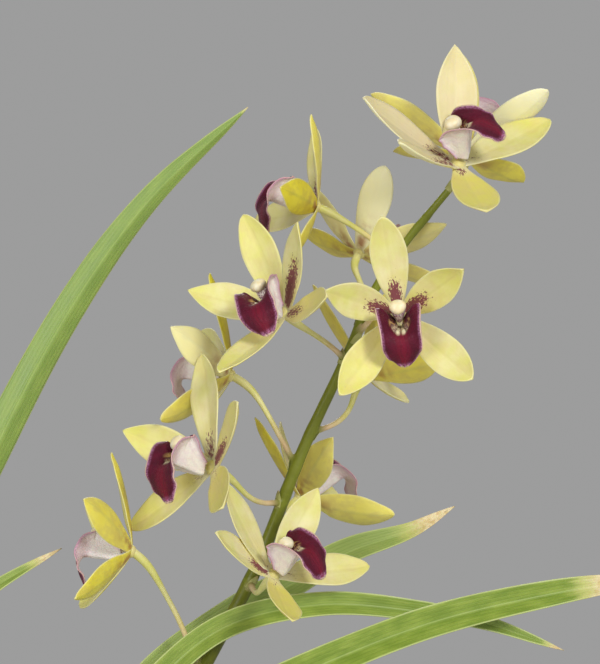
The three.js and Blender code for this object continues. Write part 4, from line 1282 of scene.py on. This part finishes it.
# %% [markdown]
# ## Lip
#
# The lip is the sixth part: a trough under the column with two raised side lobes, then a broad middle
# lobe that curls down, with a ruffled margin. Two cream ridges run along the trough. It is one grid
# whose rows follow a table: how far forward and up each row lies, its half width and how far its sides
# rise.

# %% Lip master
LIP_KNOTS = [0, 0.10, 0.20, 0.30, 0.38, 0.45, 0.52, 0.62, 0.74, 0.85, 0.93, 0.98, 1.0]
LIP_ROWS = [(4.4, -5.2, 4.0, 5.0), (8.5, -6.2, 5.4, 8.0), (12.5, -6.9, 7.2, 10.4), (16.5, -7.3, 9.4, 12.6),
            (19.5, -7.7, 10.8, 13.8), (22.4, -7.9, 11.0, 11.6), (24.6, -9.0, 10.2, 5.6),
            (25.8, -12.2, 10.2, 1.2), (24.8, -16.2, 9.7, -0.4), (22.4, -19.9, 7.9, -1.2),
            (20.2, -22.4, 5.4, -1.2), (18.9, -23.8, 3.4, -0.8), (18.2, -24.4, 1.8, -0.6)]


def lip_rows(t):
    return smooth(LIP_KNOTS, LIP_ROWS, np.clip(t, 0, 1))


lip_master, u, t = ribbon("master_lip", 40, 56)
rows = lip_rows(t)
ahead = lip_rows(t + 0.01) - lip_rows(t - 0.01)
run = ahead[:, :2] / np.linalg.norm(ahead[:, :2], axis=1, keepdims=True)
a = np.abs(u)
trough = 1 - step_up(0.38, 0.54, t)
WALL_KNOTS = [0, 0.3, 0.5, 0.65, 0.8, 1.0]          # a flat floor, a steep wall, then a flared rim
reach_side = a * (1 - trough) + smooth(WALL_KNOTS, [0, 0.33, 0.47, 0.56, 0.72, 1.0], a) * trough
reach_up = a**2.2 * (1 - trough) + smooth(WALL_KNOTS, [0, 0.08, 0.45, 0.74, 0.95, 1.0], a) * trough
ridge = np.exp(-(((a - 0.13) / 0.06) ** 2)) * step_up(0.10, 0.2, t) * (1 - step_up(0.45, 0.52, t))
ruffle = 0.6 * np.sin(30 * t + 1.5 * np.sign(u)) * a**4 * step_up(0.15, 0.35, t)
ruffle += 0.45 * np.cos(u * 9) * step_up(0.86, 0.98, t)
lobe_curl = -0.8 * np.sin(math.pi * np.clip(t / 0.5, 0, 1)) * a**6
lift = rows[:, 3] * reach_up + (1.2 + 0.6 * step_up(0.3, 0.45, t)) * ridge + ruffle
x = -np.sign(u) * (rows[:, 2] * reach_side - lobe_curl * trough)
points = np.column_stack([x, rows[:, 1] + run[:, 0] * lift, rows[:, 0] - run[:, 1] * lift])
set_points(lip_master, points * MM)
margin = np.minimum((1 - a) * rows[:, 2] * (1 + 0.6 * trough), (1 - t) * 22)
thicken(lip_master, 0.9, 0.5, u, margin=margin, callus=np.clip(ridge * 1.6, 0, 1))

# %% Column master, with its cap
column_line = curve_points([(0, 0.4, 3.0), (0, 1.6, 6.6), (0, 3.5, 10.5), (0, 5.7, 16), (0, 6.2, 20.2)], 120)
column_body, ball = round_ball("master_column", 28, 26)
share = np.arccos(np.clip(-ball[:, 2], -1, 1)) / math.pi
at, along = along_curve(column_line, share)
girth = smooth([0, 0.25, 0.6, 0.85, 1], [2.4, 2.9, 3.7, 4.2, 3.6], share) * np.sin(math.pi * share) ** 0.28
angle = np.arctan2(ball[:, 1], ball[:, 0])
sideways = np.cos(angle) * girth * 1.02
chin = smooth([0, 0.2, 0.5, 0.8, 1.0], [1.9, 2.1, 1.6, 1.25, 1.0], share)
upward = np.sin(angle) * girth * np.where(np.sin(angle) < 0, chin, 0.9)
top_way = np.cross(along, [1.0, 0, 0])
top_way *= np.sign(top_way[:, 1:2])
shaped = at + np.array([1.0, 0, 0]) * sideways[:, None] + top_way * upward[:, None]
shaped[at_pole(ball)] = at[at_pole(ball)]
set_points(column_body, shaped * MM)
set_value(column_body, "under", step_up(-0.25, 0.35, -np.sin(angle)))
set_value(column_body, "cap", 0.0)

cap, ball = round_ball("master_cap", 26, 18)
groove = 1 - 0.10 * np.exp(-((ball[:, 0] / 0.16) ** 2)) * step_up(-0.2, 0.5, ball[:, 1])
beak = 1 + 0.18 * step_up(0.4, 1.0, -ball[:, 1]) * (1 - np.abs(ball[:, 0]))
shaped = ball * (4.3, 3.6, 3.0) * groove[:, None] * beak[:, None]
tilt = math.radians(28)                      # the cap nods forward
y = shaped[:, 1] * math.cos(tilt) + shaped[:, 2] * math.sin(tilt)
z = -shaped[:, 1] * math.sin(tilt) + shaped[:, 2] * math.cos(tilt)
set_points(cap, np.column_stack([shaped[:, 0], y + 5.8, z + 20.3]) * MM)
set_value(cap, "under", 0.0)
set_value(cap, "cap", 1.0)
column_master = join([column_body, cap], "master_column")

# %% A lip and a column for every bloom
for number, bloom in enumerate(blooms, 1):
    place = bloom_place(bloom) @ Matrix.Scale(1 / MM, 4)
    raised = (Matrix.Rotation(math.radians(bloom.get("lip_roll", 0)), 4, "Z")
              @ Matrix.Rotation(-math.radians(bloom["lip"]), 4, "X")
              @ Matrix.Scale(bloom.get("lip_size", 1.0), 4))
    for master, name, turn, finish, slot, node_name in (
            (lip_master, "velvet_lip", raised, lip_finish, "lip", "lip"),
            (column_master, "column_and_cap", Matrix.Identity(4), column_finish, "column", "column")):
        copy = copy_of(master)
        copy.name = copy.data.name = f"bloom_{number:02d}_{name}"
        copy.data.transform(place @ turn)
        finished(copy, finish, slot, f"bloom_{number:02d}_{node_name}")
bpy.data.objects.remove(lip_master)
bpy.data.objects.remove(column_master)

# %% [markdown]
# ## Last look
#
# The colours are shown without a film-like curve, so the yellows stay as strong as they are. Both boxes
# are printed, so that the size of the finer pieces can be set beside that of the imported model.

# %% Colour view and sizes
bpy.context.scene.view_settings.view_transform = "Standard"
shown_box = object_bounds()
boxes = {"cad": [list(corner) for corner in cad_box], "visual": [list(corner) for corner in shown_box]}
for title, box in boxes.items():
    print(title, "box", [[round(value, 4) for value in corner] for corner in box])
